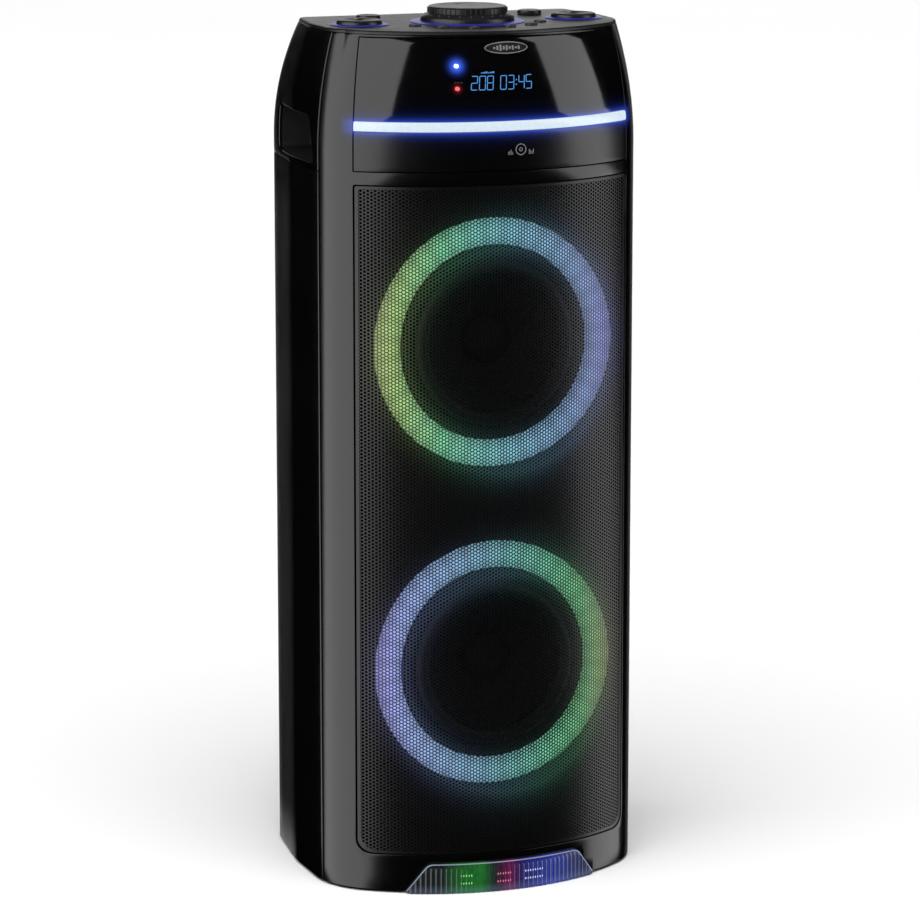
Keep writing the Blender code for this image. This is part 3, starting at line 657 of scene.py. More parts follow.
def ringFinish(name, key):
    # the diffuser runs through its colours from left to right, a little brighter over each lamp
    finish = Finish(name, Roughness=0.35, Emission_Strength=ringForm["strength"])
    place = finish.place()
    radius, angle, colour, outer = ringAxes(finish, place, key)
    bulbs = (angle * ringForm["bulbs"]).only("COSINE") * 0.12 + 0.94
    inner = ringForm["inner"]
    off = (radius - (outer + inner) / 2).only("ABSOLUTE") * (2.0 / (outer - inner))
    lit = bulbs * finish.spread(off, 0.2, 1.05, 1.0, 0.55)
    finish.put(Emission_Color=finish.glow(lit, colour))
    dark, pale = shade((0.10, 0.10, 0.10)), shade((0.14, 0.14, 0.14))
    finish.put(Base_Color=finish.blend(finish.noise(place, 300.0), dark, pale))
    return finish


def grilleFinish(name):
    # powder-coated steel, with painted light: the ring colours glow on the hole edges, falling off outside
    # each ring
    finish = Finish(name, Metallic=0.0, IOR=1.45)
    place = finish.place()
    powder = finish.noise(place, 1500.0, 2.0)
    broad = finish.noise(place, 8.0, 2.0)
    dark, pale = shade((0.0015, 0.0015, 0.0017)), shade((0.0032, 0.0032, 0.0035))
    finish.put(Base_Color=finish.blend(broad, dark, pale))
    finish.put(Roughness=finish.spread(powder, 0.3, 0.7, 0.26, 0.38))
    finish.put(Normal=finish.relief(powder, 0.00002))
    # painted light spill from the rings, as emission on the sheet
    total = None
    for key in ("upper", "lower"):
        radius, angle, colour, outer = ringAxes(finish, place, key)
        gap = (ringForm["inner"] - radius).most(0.0) + (radius - outer).most(0.0)
        fall = (gap * (-1.0 / ringForm["spill"])).only("EXPONENT") * (radius < ringForm["spillEnd"])
        total = finish.addLight(total, finish.glow(fall * 0.20, colour))
    finish.put(Emission_Color=total, Emission_Strength=1.0)
    return finish


lensForm = {"stops": [(0.00, (0.002, 0.004, 0.003)), (0.16, (0.003, 0.006, 0.004)),
                      (0.25, (0.004, 0.09, 0.008)),
                      (0.36, (0.008, 0.13, 0.015)), (0.42, (0.006, 0.02, 0.012)), (0.46, (0.03, 0.003, 0.02)),
                      (0.51, (0.11, 0.003, 0.06)), (0.56, (0.02, 0.004, 0.07)), (0.62, (0.008, 0.012, 0.16)),
                      (0.76, (0.016, 0.03, 0.24)), (0.88, (0.015, 0.02, 0.10)), (1.00, (0.010, 0.013, 0.04))],
            "dots": ((0.285, 0.030, (0.25, 1.0, 0.20)), (0.475, 0.040, (1.0, 0.25, 0.35)),
                     (0.640, 0.055, (0.75, 0.85, 1.0))),
            "dotPitch": 0.0030, "rows": (0.0118, 0.0205), "ribs": 0.0055}


def lensFinish(name):
    # clear fluted acrylic over a dark hollow, lit from behind in green, magenta and blue
    low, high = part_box("floor_lens")
    finish = Finish(name, Roughness=0.09, IOR=1.45, Transmission_Weight=0.03, Emission_Strength=1.0)
    place = finish.place()
    x, y, z = finish.axes(place)
    share = finish.spread(x, low[0], high[0], 0.0, 1.0)
    colour = finish.add("ShaderNodeValToRGB", {"stops": lensForm["stops"]}, {0: share})
    streaks = finish.add("ShaderNodeMapping", {}, {"Vector": place, "Scale": (420.0, 420.0, 90.0)})
    cloud = finish.noise(streaks, 1.0, 3.0, 0.7)
    glow = finish.spread(cloud, 0.30, 0.75, 0.55, 1.5)
    lit = finish.glow(glow, colour)
    # painted highlights: pale lines along the rib crests, stronger to the right, as emission
    wave = (x * (pi / lensForm["ribs"])).only("SINE").only("ABSOLUTE")
    ends = finish.spread(share, 0.55, 0.95, 0.22, 1.0)
    crest = finish.spread(wave, 0.03, 0.16, 1.0, 0.0) * ends
    pale = finish.blend(0.30, colour, shade((0.24, 0.26, 0.40)))
    lit = finish.addLight(lit, finish.glow(crest, pale))
    # a dim pale glow painted along the foot of the lens
    foot = finish.spread(z, 0.004, 0.011, 0.8, 0.0)
    lit = finish.addLight(lit, finish.glow(foot, shade((0.035, 0.045, 0.07))))
    for centre, half, hue in lensForm["dots"]:
        inside = (share > centre - half) * (share < centre + half)
        beat = (x * (2 * pi / lensForm["dotPitch"])).only("COSINE")
        for height in lensForm["rows"]:
            off = ((z - height) * (1 / 0.0009)) ** 2.0
            spot = (off * -1.0).only("EXPONENT") * finish.spread(beat, 0.0, 0.9, 0.02, 1.0) * inside
            lit = finish.addLight(lit, finish.glow(spot * 1.2, shade(hue)))
    front = finish.spread(y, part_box("front_fascia")[0][1] + 0.030, -0.1105, 1.0, 0.0)
    finish.put(Emission_Color=finish.glow(front, lit))
    finish.put(Base_Color=finish.blend(cloud, shade((0.003, 0.004, 0.005)), shade((0.008, 0.009, 0.012))))
    return finish


print("finishes ready")

gloss = glossBlack("gloss_black", [barGlow(0.35, 0.0030), barGlow(0.03, 0.006)], 0.11)
panelGloss = glossBlack("panel_gloss", [barGlow(0.55, 0.0026), barGlow(0.04, 0.006),
                                        lampGlow(glowForm["linkLamp"], 0.0062, (0.05, 0.14, 1.0), 1.3),
                                        lampGlow(glowForm["standbyLamp"], 0.0034, (1.0, 0.04, 0.05), 0.28)])
drawerGloss = glossBlack("drawer_gloss", [barGlow(0.55, 0.0026), barGlow(0.04, 0.006)], 0.17)
cabinetBlack = mouldedBlack("cabinet_black", (0.0018, 0.0018, 0.0020), 0.20, 0.000004)
housingBlack = mouldedBlack("housing_black", (0.0016, 0.0016, 0.0019), 0.16, 0.000003)
satinBlack = mouldedBlack("satin_black", (0.0050, 0.0050, 0.0055), 0.42, 0.00003)
deckBlack = mouldedBlack("deck_black", (0.0075, 0.0075, 0.0080), 0.34, 0.00002)
knobBlack = mouldedBlack("knob_black", (0.009, 0.009, 0.010), 0.30, 0.00001)
buttonBlack = mouldedBlack("button_black", (0.012, 0.012, 0.013), 0.45, 0.00003)
rockerBlack = mouldedBlack("rocker_black", (0.006, 0.006, 0.006), 0.25, 0.000005)
moduleCase = mouldedBlack("module_case", (0.016, 0.016, 0.017), 0.5, 0.00004)
grilleSteel = grilleFinish("grille_steel")
zincSteel = metalFinish("zinc_steel", (0.42, 0.43, 0.44), 0.38)
badgeSilver = metalFinish("badge_silver", (0.24, 0.245, 0.26), 0.42, 0.000008, 0.30)
jackMetal = metalFinish("jack_metal", (0.66, 0.66, 0.68), 0.28)
magnetIron = metalFinish("magnet_iron", (0.06, 0.06, 0.065), 0.5, 0.00005)
footRubber = rubberFinish("foot_rubber", (0.010, 0.010, 0.010), 0.75)
surroundRubber = rubberFinish("surround_rubber", (0.006, 0.006, 0.006), 0.6)
circuitBoard = boardFinish("circuit_board")
baffleWood = woodFinish("baffle_wood")
clearLens = lensFinish("clear_lens")
barWhite = litFinish("bar_white", (0.76, 0.90, 1.0), 0.88, (0.10, 0.11, 0.12), 0.25)
haloBlue = litFinish("halo_blue", (0.06, 0.07, 0.80), 0.20, (0.010, 0.012, 0.05))
lampBlue = litFinish("lamp_blue", (0.55, 0.75, 1.0), 2.2, (0.5, 0.6, 0.9), 0.2, 900.0)
lampRed = litFinish("lamp_red", (1.0, 0.16, 0.18), 1.0, (0.3, 0.05, 0.05), 0.2, 900.0)
digitCyan = litFinish("digit_cyan", (0.09, 0.40, 0.95), 0.85, (0.02, 0.05, 0.1), 0.3, 1200.0)
printGrey = mouldedBlack("print_grey", (0.18, 0.18, 0.19), 0.5, 0.00001)
printDim = mouldedBlack("print_dim", (0.035, 0.035, 0.04), 0.5, 0.00001)
screwBlack = metalFinish("screw_black", (0.05, 0.05, 0.055), 0.35)
basketBlack = mouldedBlack("basket_black", (0.006, 0.006, 0.0065), 0.55, 0.00002)
pinBrass = metalFinish("pin_brass", (0.70, 0.56, 0.30), 0.3)


def dress(material, *nodes):
    # a carried CAD node takes its finish
    for node in nodes:
        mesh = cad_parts[node].data
        mesh.materials.clear()
        mesh.materials.append(material.material)


dress(circuitBoard, "amplifier_board", "control_board", "lens_light_strip")
dress(moduleCase, "display_module", "power_supply")
dress(baffleWood, "baffle_board")
dress(zincSteel, "cd_chassis")


# ---------- body shells

shellForm = {"bottom": 0.003, "top": 0.9495, "split": 0.800, "gap": 0.0003, "seam": 0.0008,
             "fasciaWall": 0.003, "cabinetWall": 0.004, "housingWall": 0.0035, "edge": 0.0006,
             "drawerLow": 0.8035, "panelTop": 0.9465, "grilleLow": 0.044, "grilleHigh": 0.7891,
             "grilleCorner": 0.015, "lensTop": 0.0345, "lensHalfLow": 0.110, "lensHalfHigh": 0.088,
             "lensCorner": 0.011}


def grilleOutline(shrink, steps=10):
    half = bodyForm["openingHalf"] - shrink
    low, high = shellForm["grilleLow"] + shrink, shellForm["grilleHigh"] - shrink
    corner = shellForm["grilleCorner"]
    return rounded([(-half, low), (half, low), (half, high), (-half, high)],
                   [corner, corner, 0.002, 0.002], steps)


def lensOutline(grow, low=-0.010, steps=8):
    bottom, top = shellForm["lensHalfLow"] + grow, shellForm["lensHalfHigh"] + grow
    height = shellForm["lensTop"] + grow
    corners = [(-bottom, low), (bottom, low), (bottom, 0.004), (top, height), (-top, height),
               (-bottom, 0.004)]
    radius = shellForm["lensCorner"]
    return rounded(corners, [0, 0, 0, radius, radius, 0], steps)


def fasciaStations():
    middle = form.fronts(form.openingTurn, radians(1.0))
    swing = form.fasciaTurn - form.openingTurn
    right = [form.front(form.openingTurn + swing * i / 16) for i in range(1, 17)]
    return [(-x, back, -turn) for x, back, turn in reversed(right)] + middle + right


def makeFascia():
    seam = shellForm["seam"] / 2
    low, high = shellForm["drawerLow"] - seam, shellForm["panelTop"] + seam
    heights = [shellForm["bottom"], 0.020, 0.040] + levels(0.060, 0.780, 0.040)
    heights += [shellForm["grilleHigh"] + 0.006, low] + levels(0.812, 0.940, 0.008) + [high, shellForm["top"]]
    piece = shell("fasciaShell", fasciaStations(), heights, 0, shellForm["fasciaWall"],
                  (low, high, form.openingTurn))
    carve(piece, prism("grilleCut", grilleOutline(0), toY(-0.02), toY(0.068)))
    carve(piece, prism("lensCut", lensOutline(0.0004), toY(-0.02), toY(0.040)))
    bake(soften(piece, shellForm["edge"], 3, 50))
    return wear(piece, gloss, "cabinet", ["front_fascia"])


def makeCabinet():
    start = form.fasciaTurn + bodyForm["shellSeam"] / form.cornerRadius
    heights = levels(shellForm["bottom"], shellForm["split"] - shellForm["gap"], 0.06)
    piece = shell("cabinetShell", form.rears(start), heights, 0, shellForm["cabinetWall"])
    low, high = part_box("connection_plate")
    window = boxOutline((low[0] + 0.009, low[2] + 0.009), (high[0] - 0.009, high[2] - 0.009), 0.004)
    carve(piece, prism("plateCut", window, toY(0.270), toY(0.310)))
    carve(piece, prism("portCut", circleOutline((0, 0.430), 0.0383, 64), toY(0.270), toY(0.310)))
    bake(soften(piece, shellForm["edge"], 2, 50))
    return wear(piece, cabinetBlack, "cabinet", ["cabinet_body"])


handleForm = {"frontBack": 0.107, "rearBack": 0.250, "lean": 0.018, "low": 0.807, "high": 0.858,
              "floorX": 0.140, "wall": 0.0025, "edge": 0.0012}


def handleOutline(grow, steps=8):
    front, rear = toY(handleForm["frontBack"]) - grow, toY(handleForm["rearBack"]) + grow
    low, high = handleForm["low"] - grow, handleForm["high"] + grow
    return rounded([(front, low), (rear, low), (rear, high), (front + handleForm["lean"], high)],
                   [0.006, 0.008, 0.008, 0.016], steps)


def makeHousing():
    start = form.fasciaTurn + bodyForm["shellSeam"] / form.cornerRadius
    heights = levels(shellForm["split"], 0.820, 0.010) + levels(0.826, shellForm["top"], 0.0065)
    piece = shell("housingShell", form.rears(start), heights, 0, shellForm["housingWall"])
    for side in (-1, 1):
        near, far = sorted((side * (handleForm["floorX"] + handleForm["wall"]), side * 0.200))
        carve(piece, prism("handleCut", handleOutline(0), near, far, "X"))
    bake(soften(piece, handleForm["edge"], 3, 50))
    return wear(piece, housingBlack, "cabinet", ["upper_housing"])


def makeHandleCups():
    for side, name in ((-1, "Left"), (1, "Right")):
        inside = slab("cupLimit", levels(0.800, 0.870, 0.007), [shellForm["housingWall"] + 0.0003] * 11)
        near, far = sorted((side * handleForm["floorX"], side * 0.200))
        cup = prism("handleCup" + name, handleOutline(handleForm["wall"]), near, far, "X")
        carve(cup, inside, "INTERSECT")
        near, far = sorted((side * (handleForm["floorX"] + handleForm["wall"]), side * 0.220))
        carve(cup, prism("cupHollow", handleOutline(0), near, far, "X"))
        bake(soften(cup, 0.0004, 2, 50))
        wear(cup, satinBlack, "cabinet", ["handle_cup_" + name.lower()])


makeFascia()
makeCabinet()
makeHousing()
makeHandleCups()
print("shells ready")


# ---------- geometry-node trees

class Tree(Board):
    # a modifier tree with named number inputs, ending in Realize Instances and Set Material
    def __init__(self, name, inputs):
        super().__init__(bpy.data.node_groups.new(name, "GeometryNodeTree"))
        side = self.tree.interface
        side.new_socket("Mesh", in_out="INPUT", socket_type="NodeSocketGeometry")
        side.new_socket("Mesh", in_out="OUTPUT", socket_type="NodeSocketGeometry")
        self.keys = {}
        for title, value in inputs.items():
            kind = {int: "NodeSocketInt", tuple: "NodeSocketVector"}.get(type(value), "NodeSocketFloat")
            self.keys[title] = (side.new_socket(title, in_out="INPUT", socket_type=kind).identifier, value)
        source = self.tree.nodes.new("NodeGroupInput")
        self.given = {output.name: Wire(self, output) for output in source.outputs if output.name}

    def finish(self, shape, material):
        whole = self.add("GeometryNodeRealizeInstances", {}, {0: shape})
        dressed = self.add("GeometryNodeSetMaterial", {}, {"Geometry": whole, "Material": material})
        self.tree.links.new(dressed.socket, self.tree.nodes.new("NodeGroupOutput").inputs[0])

    def use(self, piece):
        # the inputs are set by identifier before anything is evaluated
        modifier = piece.modifiers.new(self.tree.name, "NODES")
        modifier.node_group = self.tree
        for key, value in self.keys.values():
            modifier[key] = value
        return piece


def pointCloud(name, places):
    return meshPiece(name, places, [])


def repeated(name, places, template, finish, body="cabinet", turns=None, sizes=None, crease=35):
    # a template mesh set at every place by a tree; turns are Euler angles
    seeds = pointCloud(name, places)
    if turns:
        attribute = seeds.data.attributes.new("turn", "FLOAT_VECTOR", "POINT")
        attribute.data.foreach_set("vector", [value for turn in turns for value in turn])
    if sizes:
        attribute = seeds.data.attributes.new("size", "FLOAT", "POINT")
        attribute.data.foreach_set("value", sizes)
    tree = Tree(name + "Tree", {"Scale": 1.0, "Seed": 3})
    settings = {"transform_space": "ORIGINAL"}
    info = tree.add("GeometryNodeObjectInfo", settings, {"Object": template}, "Geometry")
    spread = tree.add("GeometryNodeInstanceOnPoints", {}, {"Points": tree.given["Mesh"], "Instance": info})
    turn = tree.add("GeometryNodeInputNamedAttribute", {"data_type": "FLOAT_VECTOR"}, {"Name": "turn"})
    size = tree.add("GeometryNodeInputNamedAttribute", {"data_type": "FLOAT"}, {"Name": "size"})
    node = spread.socket.node
    if turns:
        tree.feed(node.inputs["Rotation"], turn)
    tree.feed(node.inputs["Scale"], size if sizes else tree.given["Scale"])
    tree.finish(spread, finish.material)
    tree.use(seeds)
    bake(seeds, crease)
    bpy.data.objects.remove(template)
    return seeds


# ---------- perforated grille

grilleForm = {"pitch": 0.0039, "column": 0.003377, "hole": 0.70, "sheet": 0.0008, "inset": 0.0006,
              "rim": 0.0016, "parts": 4}


def bendOnFront(piece, inset):
    # a flat sheet in x and z is laid on the front's curve, y being its depth
    for vertex in piece.data.vertices:
        x, y, z = vertex.co
        vertex.co = form.patch(x, z, inset + y)


def hexagon(radius, turn=0.0):
    return [(radius * cos(turn + i * pi / 3), radius * sin(turn + i * pi / 3)) for i in range(6)]


def grilleCell():
    # one hexagonal cell of the sheet about its round-cornered hole
    outer = grilleForm["pitch"] / sqrt(3)
    rim = [(x, 0, z) for x, z in hexagon(outer)]
    hole = [(x, 0, z) for x, z in hexagon(outer * grilleForm["hole"])]
    faces = [(i, (i + 1) % 6, (i + 1) % 6 + 6, i + 6) for i in range(6)]
    return meshPiece("grilleCell", rim + hole, faces)


def insideRounded(x, z, half, low, high, corner):
    if abs(x) > half or z < low or z > high:
        return False
    if z < low + corner and abs(x) > half - corner:
        return (abs(x) - half + corner) ** 2 + (z - low - corner) ** 2 < corner ** 2
    return True


def makeGrille():
    low, high = shellForm["grilleLow"], shellForm["grilleHigh"]
    half = bodyForm["openingHalf"] - shellForm["seam"]
    margin = grilleForm["rim"] + grilleForm["pitch"] * 0.45
    columns = int(half / grilleForm["column"])
    places = []
    for column in range(-columns, columns + 1):
        x = column * grilleForm["column"]
        z = low + (grilleForm["pitch"] / 2 if column % 2 else 0.0)
        while z < high:
            corner = shellForm["grilleCorner"] - margin
            if insideRounded(x, z, half - margin, low + margin, high - margin, corner):
                places.append((x, 0, z))
            z += grilleForm["pitch"]
    tree = Tree("grilleSheet", {"Cell Scale": 1.0, "Merge": 0.0002, "Seed": 1})
    cell = grilleCell()
    info = tree.add("GeometryNodeObjectInfo", {"transform_space": "ORIGINAL"}, {"Object": cell}, "Geometry")
    spread = tree.add("GeometryNodeInstanceOnPoints", {}, {"Points": tree.given["Mesh"], "Instance": info,
                                                           "Scale": tree.given["Cell Scale"]})
    whole = tree.add("GeometryNodeRealizeInstances", {}, {0: spread})
    merged = tree.add("GeometryNodeMergeByDistance", {}, {"Geometry": whole, "Distance": tree.given["Merge"]})
    tree.finish(merged, grilleSteel.material)
    span = (high - low) / grilleForm["parts"]
    for part in range(grilleForm["parts"]):
        start = low + span * part
        mine = [place for place in places if start <= place[2] < start + span]
        piece = tree.use(pointCloud("grillePanel%d" % (part + 1), mine))
        bake(piece)
        bendOnFront(piece, grilleForm["inset"])
        outward(piece)
        sheet = piece.modifiers.new("sheet", "SOLIDIFY")
        sheet.thickness = grilleForm["sheet"]
        sheet.offset = -1 if frontFacing(piece) else 1
        bake(piece, 30)
        wear(piece, grilleSteel, "cabinet", ["front_grille"])
    bpy.data.objects.remove(cell)
    return len(places)


def frontFacing(piece):
    return sum(face.normal.y * face.area for face in piece.data.polygons) < 0


def makeGrilleRim():
    # the plain border of the sheet, turned back at its edge
    edge = shellForm["seam"]
    land = grilleForm["rim"] + grilleForm["pitch"] * 0.5
    rows = [(edge, 0.0036), (edge, 0.0012), (edge + 0.0005, 0.0004), (edge + land, 0.0004)]
    guide = grilleOutline(edge)
    shares = spacing(guide, 0.012)
    piece = loft("grilleRim", [[form.patch(x, z, depth) for x, z in between(grilleOutline(shrink), shares)]
                               for shrink, depth in rows], "open")
    sheet = piece.modifiers.new("sheet", "SOLIDIFY")
    sheet.thickness = 0.0004
    sheet.offset = -1
    bake(piece)
    wear(piece, grilleSteel, "cabinet", ["front_grille"])


def spacing(ring, step):
    # (corner, share) places along an outline, so that long straights can follow the curve
    places = []
    for i, (x, z) in enumerate(ring):
        nextX, nextZ = ring[(i + 1) % len(ring)]
        count = max(1, ceil(sqrt((nextX - x) ** 2 + (nextZ - z) ** 2) / step))
        places += [(i, k / count) for k in range(count)]
    return places


def between(ring, places):
    result = []
    for i, share in places:
        (x, z), (nextX, nextZ) = ring[i], ring[(i + 1) % len(ring)]
        result.append((x + (nextX - x) * share, z + (nextZ - z) * share))
    return result


print("grille holes:", makeGrille())
makeGrilleRim()


# ---------- light rings and drivers behind the grille

driverForm = {"ringOuter": 0.1375, "ringInner": 0.1085, "ringBack": 0.0435, "flangeBack": 0.0455,
              "flange": 0.104, "can": 0.0945, "cone": 0.0753, "baffleBack": 0.050, "screws": 8, "legs": 6}


def middleHeight(node):
    low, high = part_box(node)
    return (low[2] + high[2]) / 2


def makeRing(name, node, height):
    # a crowned diffuser with a lip at each edge, seen as a frame behind the sheet
    outer, inner = driverForm["ringOuter"], driverForm["ringInner"]
    depth = driverForm["baffleBack"] - 0.0003 - driverForm["ringBack"]
    middle = (outer + inner) / 2
    half = (outer - inner) / 2
    crown = [(middle + half * cos(pi * i / 16), -0.0022 * (1 - sin(pi * i / 16))) for i in range(17)]
    profile = [(outer, -depth)] + crown + [(inner, -depth)]
    piece = turned(name, profile, (0, toY(driverForm["ringBack"]), height), "front", 128)
    return wear(piece, ringFinish(name + "Glow", name[9:].lower()), "cabinet", [node])


def surroundProfile():
    can, cone = driverForm["can"], driverForm["cone"]
    middle = (cone + can - 0.0017) / 2
    outer = (can - 0.0023 - cone - 0.0003) / 2
    inner = outer - 0.0012
    arc = [pi * i / 16 for i in range(17)]
    return ([(middle - outer * cos(a), outer * sin(a)) for a in arc]
            + [(middle + inner * cos(a), inner * sin(a)) for a in arc])


def conePoints():
    # the cone's fine ribs: its radius and depth with shallow waves
    rim, neck = (driverForm["cone"], -0.0005), (0.022, -0.0310)
    points = []
    for i in range(49):
        share = i / 48
        sag = 0.0022 * sin(pi * share)
        wave = 0.00025 * sin(2 * pi * share * 12)
        points.append((rim[0] + (neck[0] - rim[0]) * share, rim[1] + (neck[1] - rim[1]) * share - sag + wave))
    back = [(r, h - 0.0018) for r, h in reversed(points)]
    return points + back


def makeDriver(name, height):
    side = name.capitalize()
    centre = (0, toY(driverForm["flangeBack"]), height)
    makeRing("lightRing" + side, "light_ring_" + name, height)
    can, flange = driverForm["can"], driverForm["flange"]
    rest = driverForm["baffleBack"] - 0.0003 - driverForm["flangeBack"]
    basket = [(flange, -0.0008), (flange - 0.0008, 0), (can - 0.0004, 0), (can - 0.002, -0.0010),
              (can - 0.002, -0.0285), (0.0465, -0.073), (0.020, -0.073), (0.020, -0.076), (0.048, -0.076),
              (can, -0.030), (can, -rest), (flange, -rest)]
    frameRing = turned("basket" + side, basket, centre, "front", 96)
    for i in range(driverForm["legs"]):
        angle = 2 * pi * (i + 0.5) / driverForm["legs"]
        cutter = prism("basketWindow", boxOutline((-0.019, -0.066), (0.019, -0.036), 0.006), 0.045, 0.11)
        turn = Matrix.Rotation(angle, 4, "Y") @ Matrix.Rotation(-pi / 2, 4, "X")
        cutter.data.transform(Matrix.Translation(centre) @ turn)
        carve(frameRing, outward(cutter))
    bake(outward(frameRing))
    wear(frameRing, basketBlack, "cabinet", ["woofer_basket_" + name])
    surround = turned("surround" + side, surroundProfile(), centre, "front", 96)
    wear(surround, surroundRubber, "cabinet", ["woofer_surround_" + name])
    paper = paperFinish("cone_paper_" + name, height)
    cone = turned("cone" + side, conePoints(), centre, "front", 96)
    wear(cone, paper, "cone_" + name, ["woofer_cone_" + name])
    dome = [(0.0255 * sin(a), -0.0280 + 0.0110 * cos(a)) for a in [radians(5 * i) for i in range(18)]]
    dome += [(0.0255, -0.0280), (0.0240, -0.0283)]
    turns = [radians(5 * i) for i in range(17, -1, -1)]
    dome += [(0.0240 * sin(a), -0.0283 + 0.0098 * cos(a)) for a in turns]
    cap = turned("dustCap" + side, dome, centre, "front", 64, False)
    wear(cap, paper, "cone_" + name, ["dust_cap_" + name])
    magnet = [(0, -0.0763), (0.0515, -0.0763), (0.0530, -0.0773), (0.0530, -0.0815), (0.0550, -0.0825),
              (0.0550, -0.0955), (0.0530, -0.0965), (0.0530, -0.0990), (0.0520, -0.100), (0.010, -0.100),
              (0.008, -0.098), (0, -0.098)]
    iron = turned("magnet" + side, magnet, centre, "front", 64, False)
    wear(iron, magnetIron, "cabinet", ["woofer_magnet_" + name])


def panScrew(radius=0.0034, height=0.0018):
    # a domed head with a cross recess, facing up the Z axis
    profile = [(0, height * 0.45), (radius * 0.28, height * 0.5), (radius * 0.42, height * 0.97),
               (radius * 0.75, height * 0.85), (radius, height * 0.3), (radius, 0), (0, 0)]
    return turned("screwHead", profile, (0, 0, 0), "up", 12, False)


def makeDriverScrews():
    places = []
    turns = []
    for name in ("upper", "lower"):
        height = middleHeight("light_ring_" + name)
        for i in range(driverForm["screws"]):
            angle = 2 * pi * (i + 0.5) / driverForm["screws"]
            radius = (driverForm["flange"] + driverForm["can"]) / 2
            places.append((radius * cos(angle), toY(driverForm["flangeBack"]) - 0.00005,
                           height + radius * sin(angle)))
            turns.append((pi / 2, 0, 0))
    piece = repeated("basketScrews", places, panScrew(0.0028, 0.0014), screwBlack, turns=turns)
    wear(piece, screwBlack, "cabinet", [])


for name in ("upper", "lower"):
    makeDriver(name, middleHeight("light_ring_" + name))
makeDriverScrews()
print("drivers ready")


# ---------- display panel, light bar, drawer front

insertForm = {"gap": 0.0003, "seam": 0.0008, "panelWall": 0.0025, "drawerWall": 0.0030,
              "edge": 0.0005, "digitLow": 0.8915, "digitHigh": 0.9060, "digitLeft": -0.0412,
              "digitWidth": 0.0066, "digitStep": 0.0088, "stroke": 0.0008, "slant": 0.06}


def insertStations():
    return form.fronts(form.insertTurn, radians(1.0))


def makeDisplayPanel():
    low = glowForm["barHigh"] + insertForm["gap"]
    high = shellForm["panelTop"] - insertForm["seam"] / 2
    piece = shell("displayPanel", insertStations(), levels(low, high, 0.007), insertForm["gap"],
                  insertForm["panelWall"])
    for x, height in (glowForm["linkLamp"], glowForm["standbyLamp"]):
        carve(piece, prism("lampHole", circleOutline((x, height), 0.0026, 32), toY(-0.02), toY(0.03)))
    bake(soften(piece, insertForm["edge"], 3, 50))
    wear(piece, panelGloss, "cabinet", ["display_panel"])


def makeLampDome(name, node, spot, finish):
    front = form.patch(spot[0], spot[1]).y
    radius = 0.0021
    dome = quarter(radius, 0.0007, 10, 0.0004) + [(radius, -0.0105), (0, -0.0105)]
    piece = turned(name, dome, (spot[0], front, spot[1]), "front", 32, False)
    wear(piece, finish, "cabinet", [node])


def makeLightBar():
    low, high = glowForm["barLow"] + insertForm["gap"], glowForm["barHigh"] - insertForm["gap"]
    middle, half = (low + high) / 2, (high - low) / 2
    rows = [(low, 0.0045), (low, -0.0001)]
    rows += [(middle - half * cos(pi * i / 8), -0.0001 - 0.0009 * sin(pi * i / 8)) for i in range(1, 8)]
    rows += [(high, -0.0001), (high, 0.0045)]
    loops = [[form.on(station, height, inset) for height, inset in rows] for station in insertStations()]
    piece = bake(loft("lightBar", loops))
    wear(piece, barWhite, "cabinet", ["light_bar"])


def makeDrawerFront():
    low, high = shellForm["drawerLow"] + insertForm["gap"], glowForm["barLow"] - 0.0005
    piece = shell("drawerFront", insertStations(), levels(low, high, 0.006), insertForm["gap"],
                  insertForm["drawerWall"])
    bake(soften(piece, insertForm["edge"], 3, 50))
    wear(piece, drawerGloss, "drawer", ["drawer_front"])


def segmentBar(start, stop, stroke):
    # one display segment: a bar with pointed ends
    start, stop = Vector(start), Vector(stop)
    run = (stop - start).normalized()
    side = Vector((-run.y, run.x)) * stroke / 2
    start, stop = start + run * stroke * 0.15, stop - run * stroke * 0.15
    tip = run * stroke / 2
    return [start, start + tip + side, stop - tip + side, stop, stop - tip - side, start + tip - side]


segmentSets = {"0": "abcdef", "1": "bc", "2": "abged", "3": "abgcd", "4": "fgbc", "5": "afgcd",
               "6": "afgedc", "7": "abc", "8": "abcdefg", "9": "abcdfg", "-": "g"}


def digitOutlines(mark, left):
    low, high = insertForm["digitLow"], insertForm["digitHigh"]
    middle, right = (low + high) / 2, left + insertForm["digitWidth"]
    ends = {"a": ((left, high), (right, high)), "b": ((right, high), (right, middle)),
            "c": ((right, middle), (right, low)), "d": ((left, low), (right, low)),
            "e": ((left, middle), (left, low)), "f": ((left, high), (left, middle)),
            "g": ((left, middle), (right, middle))}
    return [segmentBar(*ends[key], insertForm["stroke"]) for key in segmentSets.get(mark, "")]


def onPanel(name, outlines, finish, body="cabinet", proud=0.0002, base=None, rings=()):
    # thin flat marks laid on the front's skin
    pieces = []
    inset = insertForm["gap"] if base is None else base

    def lay(x, z, side):
        return form.patch(x, z, inset - proud * (1 - side) + 0.0002 * side)
    for centre, outer, inner in rings:
        pieces.append(ringMark("ring", centre, outer, inner, lay))
    for outline in outlines:
        pieces.append(onSkin(name, [tuple(p) for p in outline], inset - proud, inset + 0.0002))
    piece = join(name, pieces)
    wear(piece, finish, body, [])
    return piece


def ringMark(name, centre, outer, inner, lay, arc=(0, 360), steps=36):
    # a flat ring or part of one, as one closed piece; lay puts (u, v) at the near or far level
    low, high = radians(arc[0]), radians(arc[1])
    whole = arc[1] - arc[0] >= 360
    count = steps if whole else steps + 1
    rows = []
    for i in range(count):
        angle = low + (high - low) * i / steps
        run = (cos(angle), sin(angle))
        rows.append([lay(centre[0] + run[0] * r, centre[1] + run[1] * r, side)
                     for r, side in ((inner, 0), (outer, 0), (outer, 1), (inner, 1))])
    return loft(name, rows, "joined" if whole else "capped")


